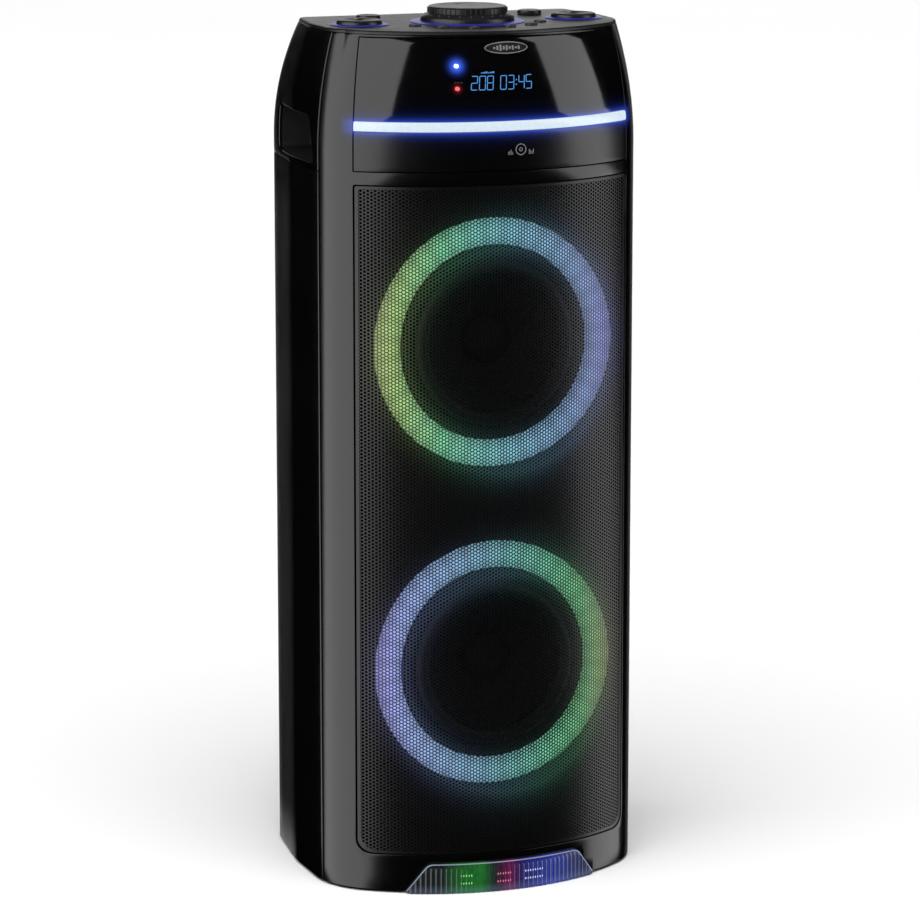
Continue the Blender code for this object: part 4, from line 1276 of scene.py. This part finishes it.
def makeDisplayDigits():
    slant = insertForm["slant"]
    outlines = []
    left = insertForm["digitLeft"]
    for mark in "208 03:45":
        if mark == ":":
            for share in (0.33, 0.67):
                height = insertForm["digitLow"] + (insertForm["digitHigh"] - insertForm["digitLow"]) * share
                outlines.append(circleOutline((left + 0.0008, height), 0.0007, 12))
            left += insertForm["digitStep"] * 0.42
            continue
        outlines += digitOutlines(mark, left)
        left += insertForm["digitStep"] * (0.7 if mark == " " else 1.0)
    low = insertForm["digitLow"]
    slanted = [[(p[0] + slant * (p[1] - low), p[1]) for p in outline] for outline in outlines]
    onPanel("displayDigits", slanted, digitCyan)
    top = insertForm["digitHigh"] + 0.0030
    small = [bar(-0.0300 + 0.0026 * i, top, -0.0282 + 0.0026 * i, top + 0.0009 + 0.0005 * (i % 3))
             for i in range(6)]
    onPanel("displayLevels", small, digitCyan)


def makePanelPrint():
    marks = []
    for x, height in (glowForm["linkLamp"], glowForm["standbyLamp"]):
        marks += [bar(x - 0.0046 + 0.0034 * i, height + 0.0062, x - 0.0022 + 0.0034 * i, height + 0.0068)
                  for i in range(3)]
    onPanel("panelDashes", marks, printDim)
    centre = (0.014, 0.8265)
    disc = [bar(-0.0010, 0.8212, 0.0052, 0.8216), bar(0.0228, 0.8212, 0.0290, 0.8216)]
    for left, height, rise in ((-0.0010, 0.8240, 0.0012), (0.0236, 0.8264, -0.0012)):
        disc += [bar(left + 0.0016 * i, 0.8222, left + 0.0007 + 0.0016 * i, height + rise * (i % 3))
                 for i in range(4)]
    rings = [(centre, 0.0062, 0.0054), (centre, 0.0021, 0.0014)]
    onPanel("discMark", disc, printGrey, "drawer", rings=rings)


badgeForm = {"height": 0.9356, "halfLength": 0.0255, "halfHeight": 0.0065, "proud": 0.0013, "rim": 0.0008,
             "bars": (0.35, 0.7, 1.0, 0.6, 0.85, 0.45, 0.7, 0.3, 0.55)}


def makeBadge():
    # a polished oval frame round a dark field with a row of level bars
    def oval(shrink):
        centre = (0, badgeForm["height"])
        return circleOutline(centre, badgeForm["halfLength"] - shrink, 72, badgeForm["halfHeight"] - shrink)
    proud = badgeForm["proud"]
    rows = [(0.0, -0.0003), (0.0, -proud + 0.0004), (0.0003, -proud), (badgeForm["rim"], -proud),
            (badgeForm["rim"] + 0.0003, -proud + 0.0005)]
    loops = [[form.patch(x, z, depth) for x, z in oval(shrink)] for shrink, depth in rows]
    piece = bake(loft("badgeFrame", loops))
    wear(piece, badgeSilver, "cabinet", ["badge_plate"])
    field = onSkin("badgeField", oval(badgeForm["rim"] + 0.0005), -proud + 0.0003, -proud + 0.0006)
    wear(bake(field), satinBlack, "cabinet", [])
    levelsUp = []
    for i, share in enumerate(badgeForm["bars"]):
        x = (i - 4) * 0.0036
        half = 0.0033 * share
        levelsUp.append(bar(x - 0.0011, badgeForm["height"] - half, x + 0.0011, badgeForm["height"] + half))
    onPanel("badgeLevels", levelsUp, badgeSilver, base=-proud + 0.0003)


makeDisplayPanel()
makeLampDome("linkLamp", "link_lamp", glowForm["linkLamp"], lampBlue)
makeLampDome("standbyLamp", "standby_lamp", glowForm["standbyLamp"], lampRed)
makeLightBar()
makeDrawerFront()
makeDisplayDigits()
makePanelPrint()
makeBadge()
print("front inserts ready")


# ---------- disc tray

trayForm = {"half": 0.073, "low": 0.812, "high": 0.822, "rearBack": 0.162, "discBack": 0.086,
            "disc": 0.063, "smallDisc": 0.0415, "hub": 0.019}


def makeDiscTray():
    half = trayForm["half"]
    centreY = toY(trayForm["discBack"])
    front, rear = toY(-0.01), toY(trayForm["rearBack"])
    outline = rounded([(-half, front), (half, front), (half, rear), (-half, rear)], [0, 0, 0.006, 0.006], 6)
    tray = prism("discTray", outline, trayForm["low"], trayForm["high"], "Z")
    front = slab("trayLimit", [0.802, 0.830], [0.0036, 0.0036])
    carve(tray, front, "INTERSECT")
    high = trayForm["high"]
    for radius, floor in ((trayForm["disc"], high - 0.0045), (trayForm["smallDisc"], 0.816)):
        cut = [(0, 0.830), (radius + 0.0010, 0.830), (radius + 0.0010, high), (radius, high - 0.0010),
               (radius, floor), (0, floor)]
        cutter = turned("recessCut", cut, (0, centreY, 0), "up", 96, False)
        carve(tray, cutter)
    hub = turned("hubCut", [(0, 0.84), (trayForm["hub"], 0.84), (trayForm["hub"], 0.80), (0, 0.80)],
                         (0, centreY, 0), "up", 48, False)
    carve(tray, hub)
    for side in (-1, 1):
        notch = rounded([(-0.014, -0.012), (0.014, -0.012), (0.014, 0.012), (-0.014, 0.012)], [0.006] * 4, 6)
        cutter = prism("thumbNotch", [(u, centreY + side * 0.062 + v) for u, v in notch], 0.818, 0.83, "Z")
        carve(tray, cutter)
    bake(soften(tray, 0.0003, 1, 40), 30, merge=False)
    wear(tray, satinBlack, "drawer", ["disc_tray"])


makeDiscTray()
print("disc tray ready")


# ---------- ribbed floor lens

ribForm = {"low": 0.0012, "proud": 0.0035, "wall": 0.0125, "depth": 0.0011, "dots": 11}


def makeFloorLens():
    # flutes run up the face, and the top edge is a plain band
    turns = radians(26)
    count = 41 * 8
    stations = [form.front(-turns + 2 * turns * i / count) for i in range(count + 1)]
    heights = [ribForm["low"], 0.004, 0.012, 0.022, 0.0290, 0.0300, shellForm["lensTop"] + 0.002]
    front, back = [], []
    for height in heights:
        for i, station in enumerate(stations):
            flute = ribForm["depth"] * abs(sin(pi * (i % 8) / 8)) if height < 0.0295 else 0.0
            front.append(form.on(station, height, -ribForm["proud"] + ribForm["depth"] - flute))
            back.append(form.on(station, height, -ribForm["proud"] + ribForm["wall"]))
    lens = wall("floorLens", front, back, heights)
    carve(lens, prism("lensShape", lensOutline(0), toY(-0.02), toY(0.05)), "INTERSECT")
    bake(soften(lens, 0.0005, 2, 60), 50)
    wear(lens, clearLens, "cabinet", ["floor_lens"])


def makeLensEdge():
    # the bright line where light leaves the lens's bevelled edge
    low = lensOutline(-0.0002, 0.0020)
    shares = spacing(low, 0.006)
    outer = [p for p in between(low, shares) if p[1] > 0.0022]
    pairs = zip(between(lensOutline(-0.0011, 0.0020), shares), between(low, shares))
    inner = [near for near, far in pairs if far[1] > 0.0022]
    proud = -ribForm["proud"] + 0.0002
    base = -ribForm["proud"] + ribForm["depth"] + 0.0003
    rows = []
    for (x, z), (u, v) in zip(outer, inner):
        rows.append([form.patch(x, z, proud), form.patch(x, z, base),
                     form.patch(u, v, base), form.patch(u, v, proud)])
    edge = bake(loft("lensEdge", rows))
    wear(edge, lensRim, "cabinet", [])


def makeLensBeads():
    # small lamps behind the lens in two rows, green to the left, red in the middle, blue to the right
    colours = {"Green": ledGreen, "Red": ledRed, "Blue": ledBlue}
    half = shellForm["lensHalfHigh"]
    for order, (name, finish) in enumerate(colours.items()):
        places, turns = [], []
        for i in range(ribForm["dots"]):
            x = -half + 2 * half * (i + 0.5) / ribForm["dots"]
            if min(2, int((x + half) / (2 * half / 3))) != order:
                continue
            for row, height in enumerate((0.0135, 0.0225)):
                turn = form.turnAt(abs(x)) * (1 if x > 0 else -1)
                places.append(form.on(form.front(turn), height + 0.0012 * (i % 2), 0.0094))
                turns.append((pi / 2, 0, turn))
        template = turned("bead", quarter(0.0022) + [(0, 0)], (0, 0, 0), "up", 12, False)
        piece = repeated("lensBeads" + name, places, template, finish, turns=turns)
        wear(piece, finish, "cabinet", [])


ledGreen = litFinish("led_green", (0.05, 1.0, 0.12), 5.0, rough=0.2)
ledRed = litFinish("led_red", (1.0, 0.05, 0.22), 5.0, rough=0.2)
ledBlue = litFinish("led_blue", (0.10, 0.22, 1.0), 5.0, rough=0.2)
lensRim = litFinish("lens_rim", (0.42, 0.48, 0.66), 0.55, (0.06, 0.07, 0.08), 0.1, 60.0)
makeFloorLens()
makeLensEdge()
makeLensBeads()
print("floor lens ready")


# ---------- control deck

deckForm = {"rim": 0.9495, "top": 0.9533, "knobBack": 0.130, "halo": 0.063, "flange": 0.0515,
            "padX": 0.125, "padRadius": 0.0248, "padHalo": 0.032, "smallX": 0.095, "smallBack": 0.188,
            "smallRadius": 0.0135, "orbit": 0.080, "button": 0.0068, "ridges": 48,
            "buttons": ("power", "mode", "skip_back", "skip_forward", "play", "lights"),
            "bearings": (-155, -130, -105, -75, -50, -25)}


def buttonPlace(bearing):
    angle = radians(bearing)
    return deckForm["orbit"] * cos(angle), toY(deckForm["knobBack"]) + deckForm["orbit"] * sin(angle)


def makeDeck():
    top = deckForm["top"]
    insets = [0.0, 0.0, 0.0003, 0.0011, 0.0024]
    heights = [deckForm["rim"] + 0.0003, top - 0.0014, top - 0.0006, top - 0.0001, top]
    deck = slab("deckPlate", heights, insets)
    holes = [(0, deckForm["knobBack"], 0.0067), (-deckForm["padX"], deckForm["knobBack"], 0.0047),
             (deckForm["padX"], deckForm["knobBack"], 0.0047),
             (-deckForm["smallX"], deckForm["smallBack"], 0.0037),
             (deckForm["smallX"], deckForm["smallBack"], 0.0037)]
    for x, back, radius in holes:
        carve(deck, prism("stemHole", circleOutline((x, toY(back)), radius, 32), 0.94, 0.96, "Z"))
    for bearing in deckForm["bearings"]:
        carve(deck, prism("buttonHole", circleOutline(buttonPlace(bearing), deckForm["button"] + 0.0004, 40),
                          0.94, 0.96, "Z"))
    bake(outward(deck), 30)
    wear(deck, deckBlack, "cabinet", ["control_deck"])


def makeHalo(name, node, x, inner, outer):
    # a low crowned ring of blue light round a knob
    profile = [(inner, 0.0003), (inner, 0.0015), (inner + 0.0004, 0.0018)]
    width = outer - inner - 0.0004
    profile += [(inner + 0.0004 + width * i / 8, 0.0018 - 0.0011 * (i / 8) ** 2) for i in range(1, 9)]
    profile.append((outer, 0.0003))
    piece = turned(name, profile, (x, toY(deckForm["knobBack"]), deckForm["top"]), "up", 96)
    wear(piece, haloBlue, "cabinet", [node])


def makeVolumeKnob():
    # a stepped dial: a dished cap, a ridged grip and a flange with tick marks
    centre = (0, toY(deckForm["knobBack"]), deckForm["top"])
    profile = [(0, 0.0169), (0.030, 0.0170), (0.0345, 0.0173), (0.0385, 0.0177), (0.0405, 0.0177),
               (0.0424, 0.0172),
               (0.0434, 0.0160), (0.0434, 0.0106), (0.0442, 0.0098), (0.0486, 0.0082), (0.0508, 0.0064),
               (0.0515, 0.0050), (0.0515, 0.0005), (0.006, 0.0005), (0.006, -0.018), (0, -0.018)]
    dial = turned("volumeDial", profile, centre, "up", 128, False)
    wear(dial, knobBlack, "volume_knob", ["volume_knob"])
    foot = (centre[0], centre[1], centre[2] + 0.0107)
    ridges("volumeGrip", foot, deckForm["ridges"], 0.0434, 0.00075, 0.0052, "volume_knob")
    ticks = [dialBar(centre, 2 * pi * i / 24, 0.0452, 0.0478, 0.0006, 0.0088) for i in range(24)]
    marks = join("volumeTicks", ticks)
    wear(marks, printGrey, "volume_knob", [])
    pointer = dialBar(centre, pi / 2, 0.026, 0.037, 0.0016, 0.0175)
    wear(bake(pointer), printGrey, "volume_knob", [])


def ridges(name, centre, count, radius, size, height, node):
    # half-round ribs that stand round a knob's wall
    ring = [(size * cos(a), size * sin(a)) for a in [radians(-100 + 25 * i) for i in range(9)]]
    ridge = loft("ridge", [[(x, y, z) for x, y in ring] for z in (0, height)])
    angles = [2 * pi * i / count for i in range(count)]
    places = [(centre[0] + radius * cos(a), centre[1] + radius * sin(a), centre[2]) for a in angles]
    grip = repeated(name, places, ridge, knobBlack, node, [(0, 0, a) for a in angles])
    wear(grip, knobBlack, node, [])


def dialBar(centre, angle, near, far, half, height):
    # a thin raised bar on a dial's face, pointing outwards
    corners = raySlot(centre[0], centre[1], angle, near, far, half)
    return prism("pointer", corners, centre[2] + height - 0.0004, centre[2] + height + 0.00015, "Z")


def makePad(side, name):
    # a jog pad: a dished top with fine turned grooves and a finger dimple
    centre = (side * deckForm["padX"], toY(deckForm["knobBack"]), deckForm["top"])
    radius = deckForm["padRadius"]
    top = [(0, 0.0046), (0.004, 0.0047)]
    top += [(0.004 + 0.0145 * i / 40, 0.0049 + 0.0006 * i / 40 + 0.00012 * (i % 2)) for i in range(1, 41)]
    top += [(0.0200, 0.0059), (0.0225, 0.0059), (0.0240, 0.0053), (radius, 0.0043), (radius, 0.0005),
            (0.004, 0.0005), (0.004, -0.014), (0, -0.014)]
    pad = turned("jogPad" + name, top, centre, "up", 96, False, 60)
    wear(pad, knobBlack, "jog_pad_" + name.lower(), ["jog_pad_" + name.lower()])
    dimple = quarter(0.0030, 0.0003)
    spot = (centre[0], centre[1] + 0.0135, centre[2] + 0.00555)
    mark = turned("jogMark" + name, dimple + [(0.0030, -0.0004), (0, -0.0004)], spot, "up", 24, False)
    wear(mark, printGrey, "jog_pad_" + name.lower(), [])


def makeSmallKnob(name, node, x):
    centre = (x, toY(deckForm["smallBack"]), deckForm["top"])
    radius = deckForm["smallRadius"]
    profile = [(0, 0.0047), (0.0090, 0.0049), (0.0112, 0.0052), (0.0124, 0.0049), (0.0130, 0.0038),
               (0.0130, 0.0014), (radius, 0.0008), (radius, 0.0005), (0.003, 0.0005), (0.003, -0.014),
               (0, -0.014)]
    knob = turned(name, profile, centre, "up", 64, False)
    wear(knob, knobBlack, node, [node])
    ridges(name + "Grip", (x, centre[1], centre[2] + 0.0014), 30, 0.0130, 0.0004, 0.0022, node)
    pointer = dialBar(centre, pi / 2, 0.0030, 0.0105, 0.0007, 0.0049)
    pointer.name = name + "Pointer"
    wear(bake(pointer), printGrey, node, [])


def triangleMark(x, y, size, turn=0.0):
    return [(x + size * cos(turn + a), y + size * sin(turn + a)) for a in (0, radians(120), radians(240))]


def buttonIcon(name, x, y):
    size = 0.0024
    if name == "power":
        return [bar(x - 0.0003, y + 0.0004, x + 0.0003, y + size * 1.2)]
    if name == "mode":
        return [bar(x - size, y + d, x + size, y + d + 0.0006) for d in (-0.0018, -0.0003, 0.0012)]
    if name == "skip_back":
        return [triangleMark(x - 0.0004, y, size * 0.72, pi), triangleMark(x + 0.0016, y, size * 0.72, pi),
                bar(x - 0.0028, y - 0.0014, x - 0.0022, y + 0.0014)]
    if name == "skip_forward":
        return [triangleMark(x + 0.0004, y, size * 0.72), triangleMark(x - 0.0016, y, size * 0.72),
                bar(x + 0.0022, y - 0.0014, x + 0.0028, y + 0.0014)]
    if name == "play":
        return [triangleMark(x - 0.0010, y, size * 0.8), bar(x + 0.0010, y - 0.0016, x + 0.0015, y + 0.0016),
                bar(x + 0.0021, y - 0.0016, x + 0.0026, y + 0.0016)]
    rays = [raySlot(x, y, 2 * pi * i / 8, 0.0014, 0.0026, 0.00025) for i in range(8)]
    return rays + [circleOutline((x, y), 0.0009, 16)]


def raySlot(x, y, angle, near, far, half):
    run, side = (cos(angle), sin(angle)), (-sin(angle), cos(angle))
    return [(x + run[0] * r + side[0] * s, y + run[1] * r + side[1] * s)
            for r, s in ((near, -half), (far, -half), (far, half), (near, half))]


def makeButtons():
    for name, bearing in zip(deckForm["buttons"], deckForm["bearings"]):
        x, y = buttonPlace(bearing)
        radius = deckForm["button"]
        node = name + "_button"
        profile = [(0, 0.0014), (0.0040, 0.0016), (radius - 0.0010, 0.0020), (radius - 0.0004, 0.0018),
                   (radius, 0.0012), (radius, -0.0090), (0, -0.0090)]
        title = "".join(word.capitalize() for word in name.split("_"))
        cap = turned("button" + title, profile, (x, y, deckForm["top"]), "up", 48, False)
        wear(cap, buttonBlack, node, [node])
        top = deckForm["top"] + 0.0014
        marks = [prism("mark", outline, top, top + 0.0004, "Z") for outline in buttonIcon(name, x, y)]
        if name == "power":
            def lay(u, v, side):
                return u, v, top + 0.0004 * side
            marks.append(ringMark("arc", (x, y), 0.0024, 0.0018, lay, (125, 415), 28))
        icon = join("icon" + title, marks)
        wear(icon, printGrey, node, [])


def makeDeckPrint():
    # scale arcs about the small knobs, and level dashes beside the pads
    small, back = toY(deckForm["smallBack"]), toY(deckForm["knobBack"])
    slots = []
    for side in (-1, 1):
        for i in range(11):
            far = 0.0180 if i % 5 == 0 else 0.0172
            slots.append((side * deckForm["smallX"], small, radians(-50 + 28 * i), 0.0158, far, 0.00025))
    for side in (-1, 1):
        for i in range(7):
            angle = radians(90 - side * (60 + 10 * i))
            slots.append((side * deckForm["padX"], back, angle, 0.0345, 0.0362, 0.0003))
    for i in range(25):
        far = 0.0685 if i % 4 == 0 else 0.0673
        slots.append((0, back, radians(-60 + 12.5 * i), 0.0655, far, 0.0003))
    top = deckForm["top"]
    marks = [prism("mark", raySlot(*slot), top - 0.0001, top + 0.00012, "Z") for slot in slots]
    piece = join("deckScales", marks)
    wear(piece, printGrey, "cabinet", [])


makeDeck()
makeHalo("volumeHalo", "volume_halo", 0, deckForm["flange"] + 0.0008, deckForm["halo"])
for side, word in ((-1, "left"), (1, "right")):
    x, inner = side * deckForm["padX"], deckForm["padRadius"] + 0.0008
    makeHalo("padHalo" + word.capitalize(), "pad_halo_" + word, x, inner, deckForm["padHalo"])
makeVolumeKnob()
makePad(-1, "Left")
makePad(1, "Right")
makeSmallKnob("micKnob", "mic_knob", -deckForm["smallX"])
makeSmallKnob("echoKnob", "echo_knob", deckForm["smallX"])
makeButtons()
makeDeckPrint()
print("deck ready")


# ---------- rear, base and feet

rearForm = {"plateScrews": [(x, z) for x in (-0.068, 0.068) for z in (0.577, 0.743)], "seat": 0.0016,
            "plateHalf": 0.075, "plateLow": 0.570, "plateHigh": 0.750, "plateThick": 0.0032,
            "jackHeight": 0.715, "jackX": 0.022, "auxX": 0.055, "inletHeight": 0.605, "inletX": -0.040,
            "rockerX": 0.035, "portHeight": 0.430, "portRadius": 0.034, "portLength": 0.105}


def makePlate():
    half, low, high = rearForm["plateHalf"], rearForm["plateLow"], rearForm["plateHigh"]
    near = toY(bodyForm["rearBack"] + 0.0003)
    far = near + rearForm["plateThick"]
    plate = prism("connectionPlate", boxOutline((-half, low), (half, high), 0.006), near, far)
    jack, inlet = rearForm["jackHeight"], rearForm["inletHeight"]
    for x, radius in ((-rearForm["jackX"], 0.0093), (rearForm["jackX"], 0.0093), (rearForm["auxX"], 0.0058)):
        carve(plate, prism("jackHole", circleOutline((x, jack), radius, 48), near - 0.01, far + 0.01))
    for x, wide, tall in ((rearForm["inletX"], 0.0143, 0.0113), (rearForm["rockerX"], 0.0075, 0.0120)):
        outline = bar(x - wide, inlet - tall, x + wide, inlet + tall)
        carve(plate, prism("plateHole", outline, near - 0.01, far + 0.01))
    for i in range(9):
        z = 0.6425 + 0.0052 * i
        slot = boxOutline((-0.058, z), (0.058, z + 0.0022), 0.0010)
        carve(plate, prism("ventSlot", slot, far - 0.0022, far + 0.01))
    for x, z in rearForm["plateScrews"]:
        seat = circleOutline((x, z), 0.0034, 24)
        carve(plate, prism("screwSeat", seat, far - rearForm["seat"], far + 0.01))
    bake(soften(plate, 0.0003, 1, 50), merge=False)
    wear(plate, satinBlack, "cabinet", ["connection_plate"])
    return far


def makeRearScrews(far):
    places = [(x, far - rearForm["seat"] - 0.0001, z) for x, z in rearForm["plateScrews"]]
    places += [(0.0425 * cos(a), toY(bodyForm["rearBack"]) + 0.0020, rearForm["portHeight"] + 0.0425 * sin(a))
               for a in [radians(45 + 90 * i) for i in range(4)]]
    turns = [(-pi / 2, 0, 0)] * len(places)
    screws = repeated("rearScrews", places, panScrew(0.0027, 0.0013), screwBlack, turns=turns)
    wear(screws, screwBlack, "cabinet", [])
    rear = toY(bodyForm["rearBack"]) - 0.0001
    backs = [(x, rear, z) for x in (-0.140, 0.140) for z in (0.045, 0.28, 0.52, 0.77)]
    turns = [(-pi / 2, 0, 0)] * len(backs)
    cabinetScrews = repeated("cabinetScrews", backs, panScrew(0.0034, 0.0015), screwBlack, turns=turns)
    wear(cabinetScrews, screwBlack, "cabinet", [])


def makeJack(name, node, x, far, radius, bore):
    # a nut-ringed socket: a metal bush about the bore, with a flatted nut
    profile = [(0, -0.019), (bore, -0.019), (bore, -0.0008), (bore + 0.0008, 0), (bore + 0.0022, 0),
               (bore + 0.0025, -0.0006), (radius - 0.0013, -0.0006), (radius - 0.0010, -0.0001),
               (radius - 0.0003, -0.0001), (radius, -0.0005), (radius, -0.022), (0, -0.022)]
    piece = turned(name, profile, (x, far, rearForm["jackHeight"]), "rear", 64, False)
    wear(piece, jackMetal, "cabinet", [node])


def makeInlet(far):
    x, z = rearForm["inletX"], rearForm["inletHeight"]
    outline = boxOutline((x - 0.014, z - 0.011), (x + 0.014, z + 0.011), 0.0015)
    body = prism("powerInlet", outline, far - 0.024, far)
    carve(body, prism("inletCut", boxOutline((x - 0.0102, z - 0.0058), (x + 0.0102, z + 0.0058), 0.0055),
                      far - 0.016, far + 0.01))
    bake(soften(body, 0.0004, 2, 50))
    wear(body, satinBlack, "cabinet", ["power_inlet"])
    pins = []
    for side in (-1, 1):
        pin = [(0, 0.0100), (0.0009, 0.0098), (0.0012, 0.0090), (0.0012, -0.001), (0, -0.001)]
        pins.append(turned("pin", pin, (x + side * 0.0043, far - 0.016, z), "rear", 20, False))
    wear(join("inletPins", pins), pinBrass, "cabinet", [])


def makeRocker():
    # a two-way rocker: its face is bent at the middle, with a bar and a ring on its ends
    low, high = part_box("power_rocker")
    middle = (low[2] + high[2]) / 2
    near, face = low[1], high[1]
    profile = [(near, low[2]), (face, low[2]), (face - 0.0003, low[2] + 0.004), (face - 0.0011, middle),
               (face - 0.0003, high[2] - 0.004), (face, high[2]), (near, high[2])]
    piece = prism("powerRocker", profile, low[0], high[0], "X")
    bake(soften(outward(piece), 0.0004, 2, 30), 25)
    wear(piece, rockerBlack, "power_rocker", ["power_rocker"])
    x = (low[0] + high[0]) / 2
    stroke = bar(x - 0.0004, high[2] - 0.0062, x + 0.0004, high[2] - 0.0022)
    pieces = [prism("mark", stroke, face - 0.0006, face - 0.00005)]
    pieces.append(ringMark("ring", (x, low[2] + 0.0042), 0.0021, 0.0014,
                           lambda u, v, side: (u, face - 0.0006 + 0.00055 * side, v)))
    wear(join("rockerMarks", pieces), printGrey, "power_rocker", [])


def makePort():
    radius, height = rearForm["portRadius"], rearForm["portHeight"]
    place = (0, toY(bodyForm["rearBack"]), height)
    turns = [radians(a) for a in range(0, 91, 10)]
    flare = [(radius + 0.0055 - 0.0055 * sin(a), 0.0030 - 0.0120 * (1 - cos(a))) for a in turns]
    profile = [(radius + 0.013, 0.0003), (radius + 0.013, 0.0012), (radius + 0.0122, 0.0020),
               (radius + 0.0070, 0.0030)]
    deep = -rearForm["portLength"]
    profile += flare + [(radius, deep), (radius + 0.0035, deep), (radius + 0.0035, 0.0003)]
    piece = turned("bassPort", profile, place, "rear", 96)
    wear(piece, satinBlack, "cabinet", ["bass_port_tube"])


def makeBase():
    base = slab("basePlate", [0.0050, 0.0056, 0.0130], [shellForm["cabinetWall"] + 0.0009,
                                                       shellForm["cabinetWall"] + 0.0003,
                                                       shellForm["cabinetWall"] + 0.0003])
    pocket = shell("lensPocket", form.fronts(radians(27)), [-0.01, 0.02, 0.05], -0.004, 0.0175)
    carve(base, pocket)
    for i in range(9):
        slot = boxOutline((-0.060, 0.010 + 0.008 * i), (0.060, 0.0135 + 0.008 * i), 0.0017)
        carve(base, prism("baseVent", slot, 0.000, 0.0072, "Z"))
    bake(outward(base), 30)
    wear(base, satinBlack, "cabinet", ["base_plate"])


def makeFeet():
    for name in ("front_left", "front_right", "rear_left", "rear_right"):
        low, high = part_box("foot_" + name)
        centre = ((low[0] + high[0]) / 2, (low[1] + high[1]) / 2, 0)
        profile = [(0, 0.0047), (0.0128, 0.0047), (0.013, 0.0043), (0.0130, 0.0012), (0.0126, 0.0004),
                   (0.0118, 0),
                   (0.0090, 0), (0.0086, 0.0006), (0.0040, 0.0006), (0.0036, 0), (0, 0)]
        title = "".join(word.capitalize() for word in name.split("_"))
        foot = turned("foot" + title, profile, centre, "up", 64, False)
        wear(foot, footRubber, "cabinet", ["foot_" + name])


farFace = makePlate()
makeRearScrews(farFace)
makeJack("micJackLeft", "mic_jack_left", -rearForm["jackX"], farFace, 0.0090, 0.0034)
makeJack("micJackRight", "mic_jack_right", rearForm["jackX"], farFace, 0.0090, 0.0034)
makeJack("auxJack", "aux_jack", rearForm["auxX"], farFace, 0.0055, 0.0018)
makeInlet(farFace)
makeRocker()
makePort()
makeBase()
makeFeet()
print("rear, base and feet ready")

# ---------- floor, light and camera

stageForm = {"floorSize": 60.0, "cameraPlace": (-1.5932, -4.3463, 1.3757), "cameraTurn": 20.096,
             "cameraDip": 11.188, "lens": 164.5, "sensor": 36, "backdrop": 1.0, "sky": 0.40, "below": 0.0}

# each softbox: bearing from straight ahead (left is negative), distance, height, size, roll, brightness
softboxes = {"leftSoftbox": (-79, 2.2, 0.66, (3.2, 4.6), -20, 2.7),
             "rightSoftbox": (66, 2.6, 0.66, (1.22, 4.4), 31, 2.6),
             "rearSoftbox": (163, 3.0, 0.30, (2.0, 3.8), 0, 0.8),
             "rearRightSoftbox": (140, 3.0, 0.20, (1.6, 3.4), 0, 0.12)}


def makeFloor():
    half = stageForm["floorSize"] / 2
    floor = meshPiece("studioFloor", [(-half, -half, 0), (half, -half, 0), (half, half, 0), (-half, half, 0)],
                      [(0, 1, 2, 3)])
    finish = Finish("studio_floor", Roughness=0.8)
    cloud = finish.noise(finish.place(), 0.6)
    finish.put(Base_Color=finish.blend(cloud, shade((0.84, 0.84, 0.85)), shade((0.88, 0.88, 0.88))))
    floor.data.materials.append(finish.material)
    floor.visible_glossy = False


def makeSoftboxes():
    # tall softboxes, whose reflections run down the gloss
    for name, (bearing, distance, height, size, roll, brightness) in softboxes.items():
        light = bpy.data.lights.new(name, "AREA")
        light.shape = "RECTANGLE"
        light.size, light.size_y = size
        light.energy = brightness * pi * size[0] * size[1]
        lamp = bpy.data.objects.new(name, light)
        angle = radians(bearing)
        place = Matrix.Translation((distance * sin(angle), -distance * cos(angle), height))
        upright = Matrix.Rotation(angle, 4, "Z") @ Matrix.Rotation(pi / 2, 4, "X")
        lamp.matrix_world = place @ upright @ Matrix.Rotation(radians(roll), 4, "Z")
        lamp.visible_diffuse = False
        bpy.context.scene.collection.objects.link(lamp)


def makeFill():
    # an even soft light on the floor, which shows in no reflection
    light = bpy.data.lights.new("fillSun", "SUN")
    light.energy = 4.4
    light.angle = radians(70)
    lamp = bpy.data.objects.new("fillSun", light)
    lamp.rotation_euler = (radians(28), 0, radians(-25))
    lamp.visible_glossy = False
    bpy.context.scene.collection.objects.link(lamp)


def makeWorld():
    # a pale backdrop, with a soft sky above and a dark surround below for the gloss to mirror
    world = bpy.data.worlds.new("studio")
    world.use_nodes = True
    sky = Board(world.node_tree)
    ray = sky.add("ShaderNodeLightPath", out="Is Camera Ray")
    ways = sky.add("ShaderNodeSeparateXYZ", {}, {0: sky.add("ShaderNodeTexCoord", out="Generated")}, "Z")
    shares = {0: ways, 1: 0.0, 2: 0.25, 3: stageForm["below"], 4: stageForm["sky"]}
    rise = sky.add("ShaderNodeMapRange", {}, shares)
    level = ray * stageForm["backdrop"] + (1 - ray) * rise
    back = world.node_tree.nodes["Background"]
    sky.feed(back.inputs["Strength"], level)
    bpy.context.scene.world = world
    bpy.context.scene.view_settings.view_transform = "Standard"


def makeCamera():
    lens = bpy.data.cameras.new("studioCamera")
    lens.lens = stageForm["lens"]
    lens.sensor_width = stageForm["sensor"]
    camera = bpy.data.objects.new("studioCamera", lens)
    camera.location = stageForm["cameraPlace"]
    camera.rotation_euler = (radians(90 - stageForm["cameraDip"]), 0, radians(-stageForm["cameraTurn"]))
    bpy.context.scene.collection.objects.link(camera)
    bpy.context.scene.camera = camera


makeFloor()
makeSoftboxes()
makeFill()
makeWorld()
makeCamera()

print("scene ready")
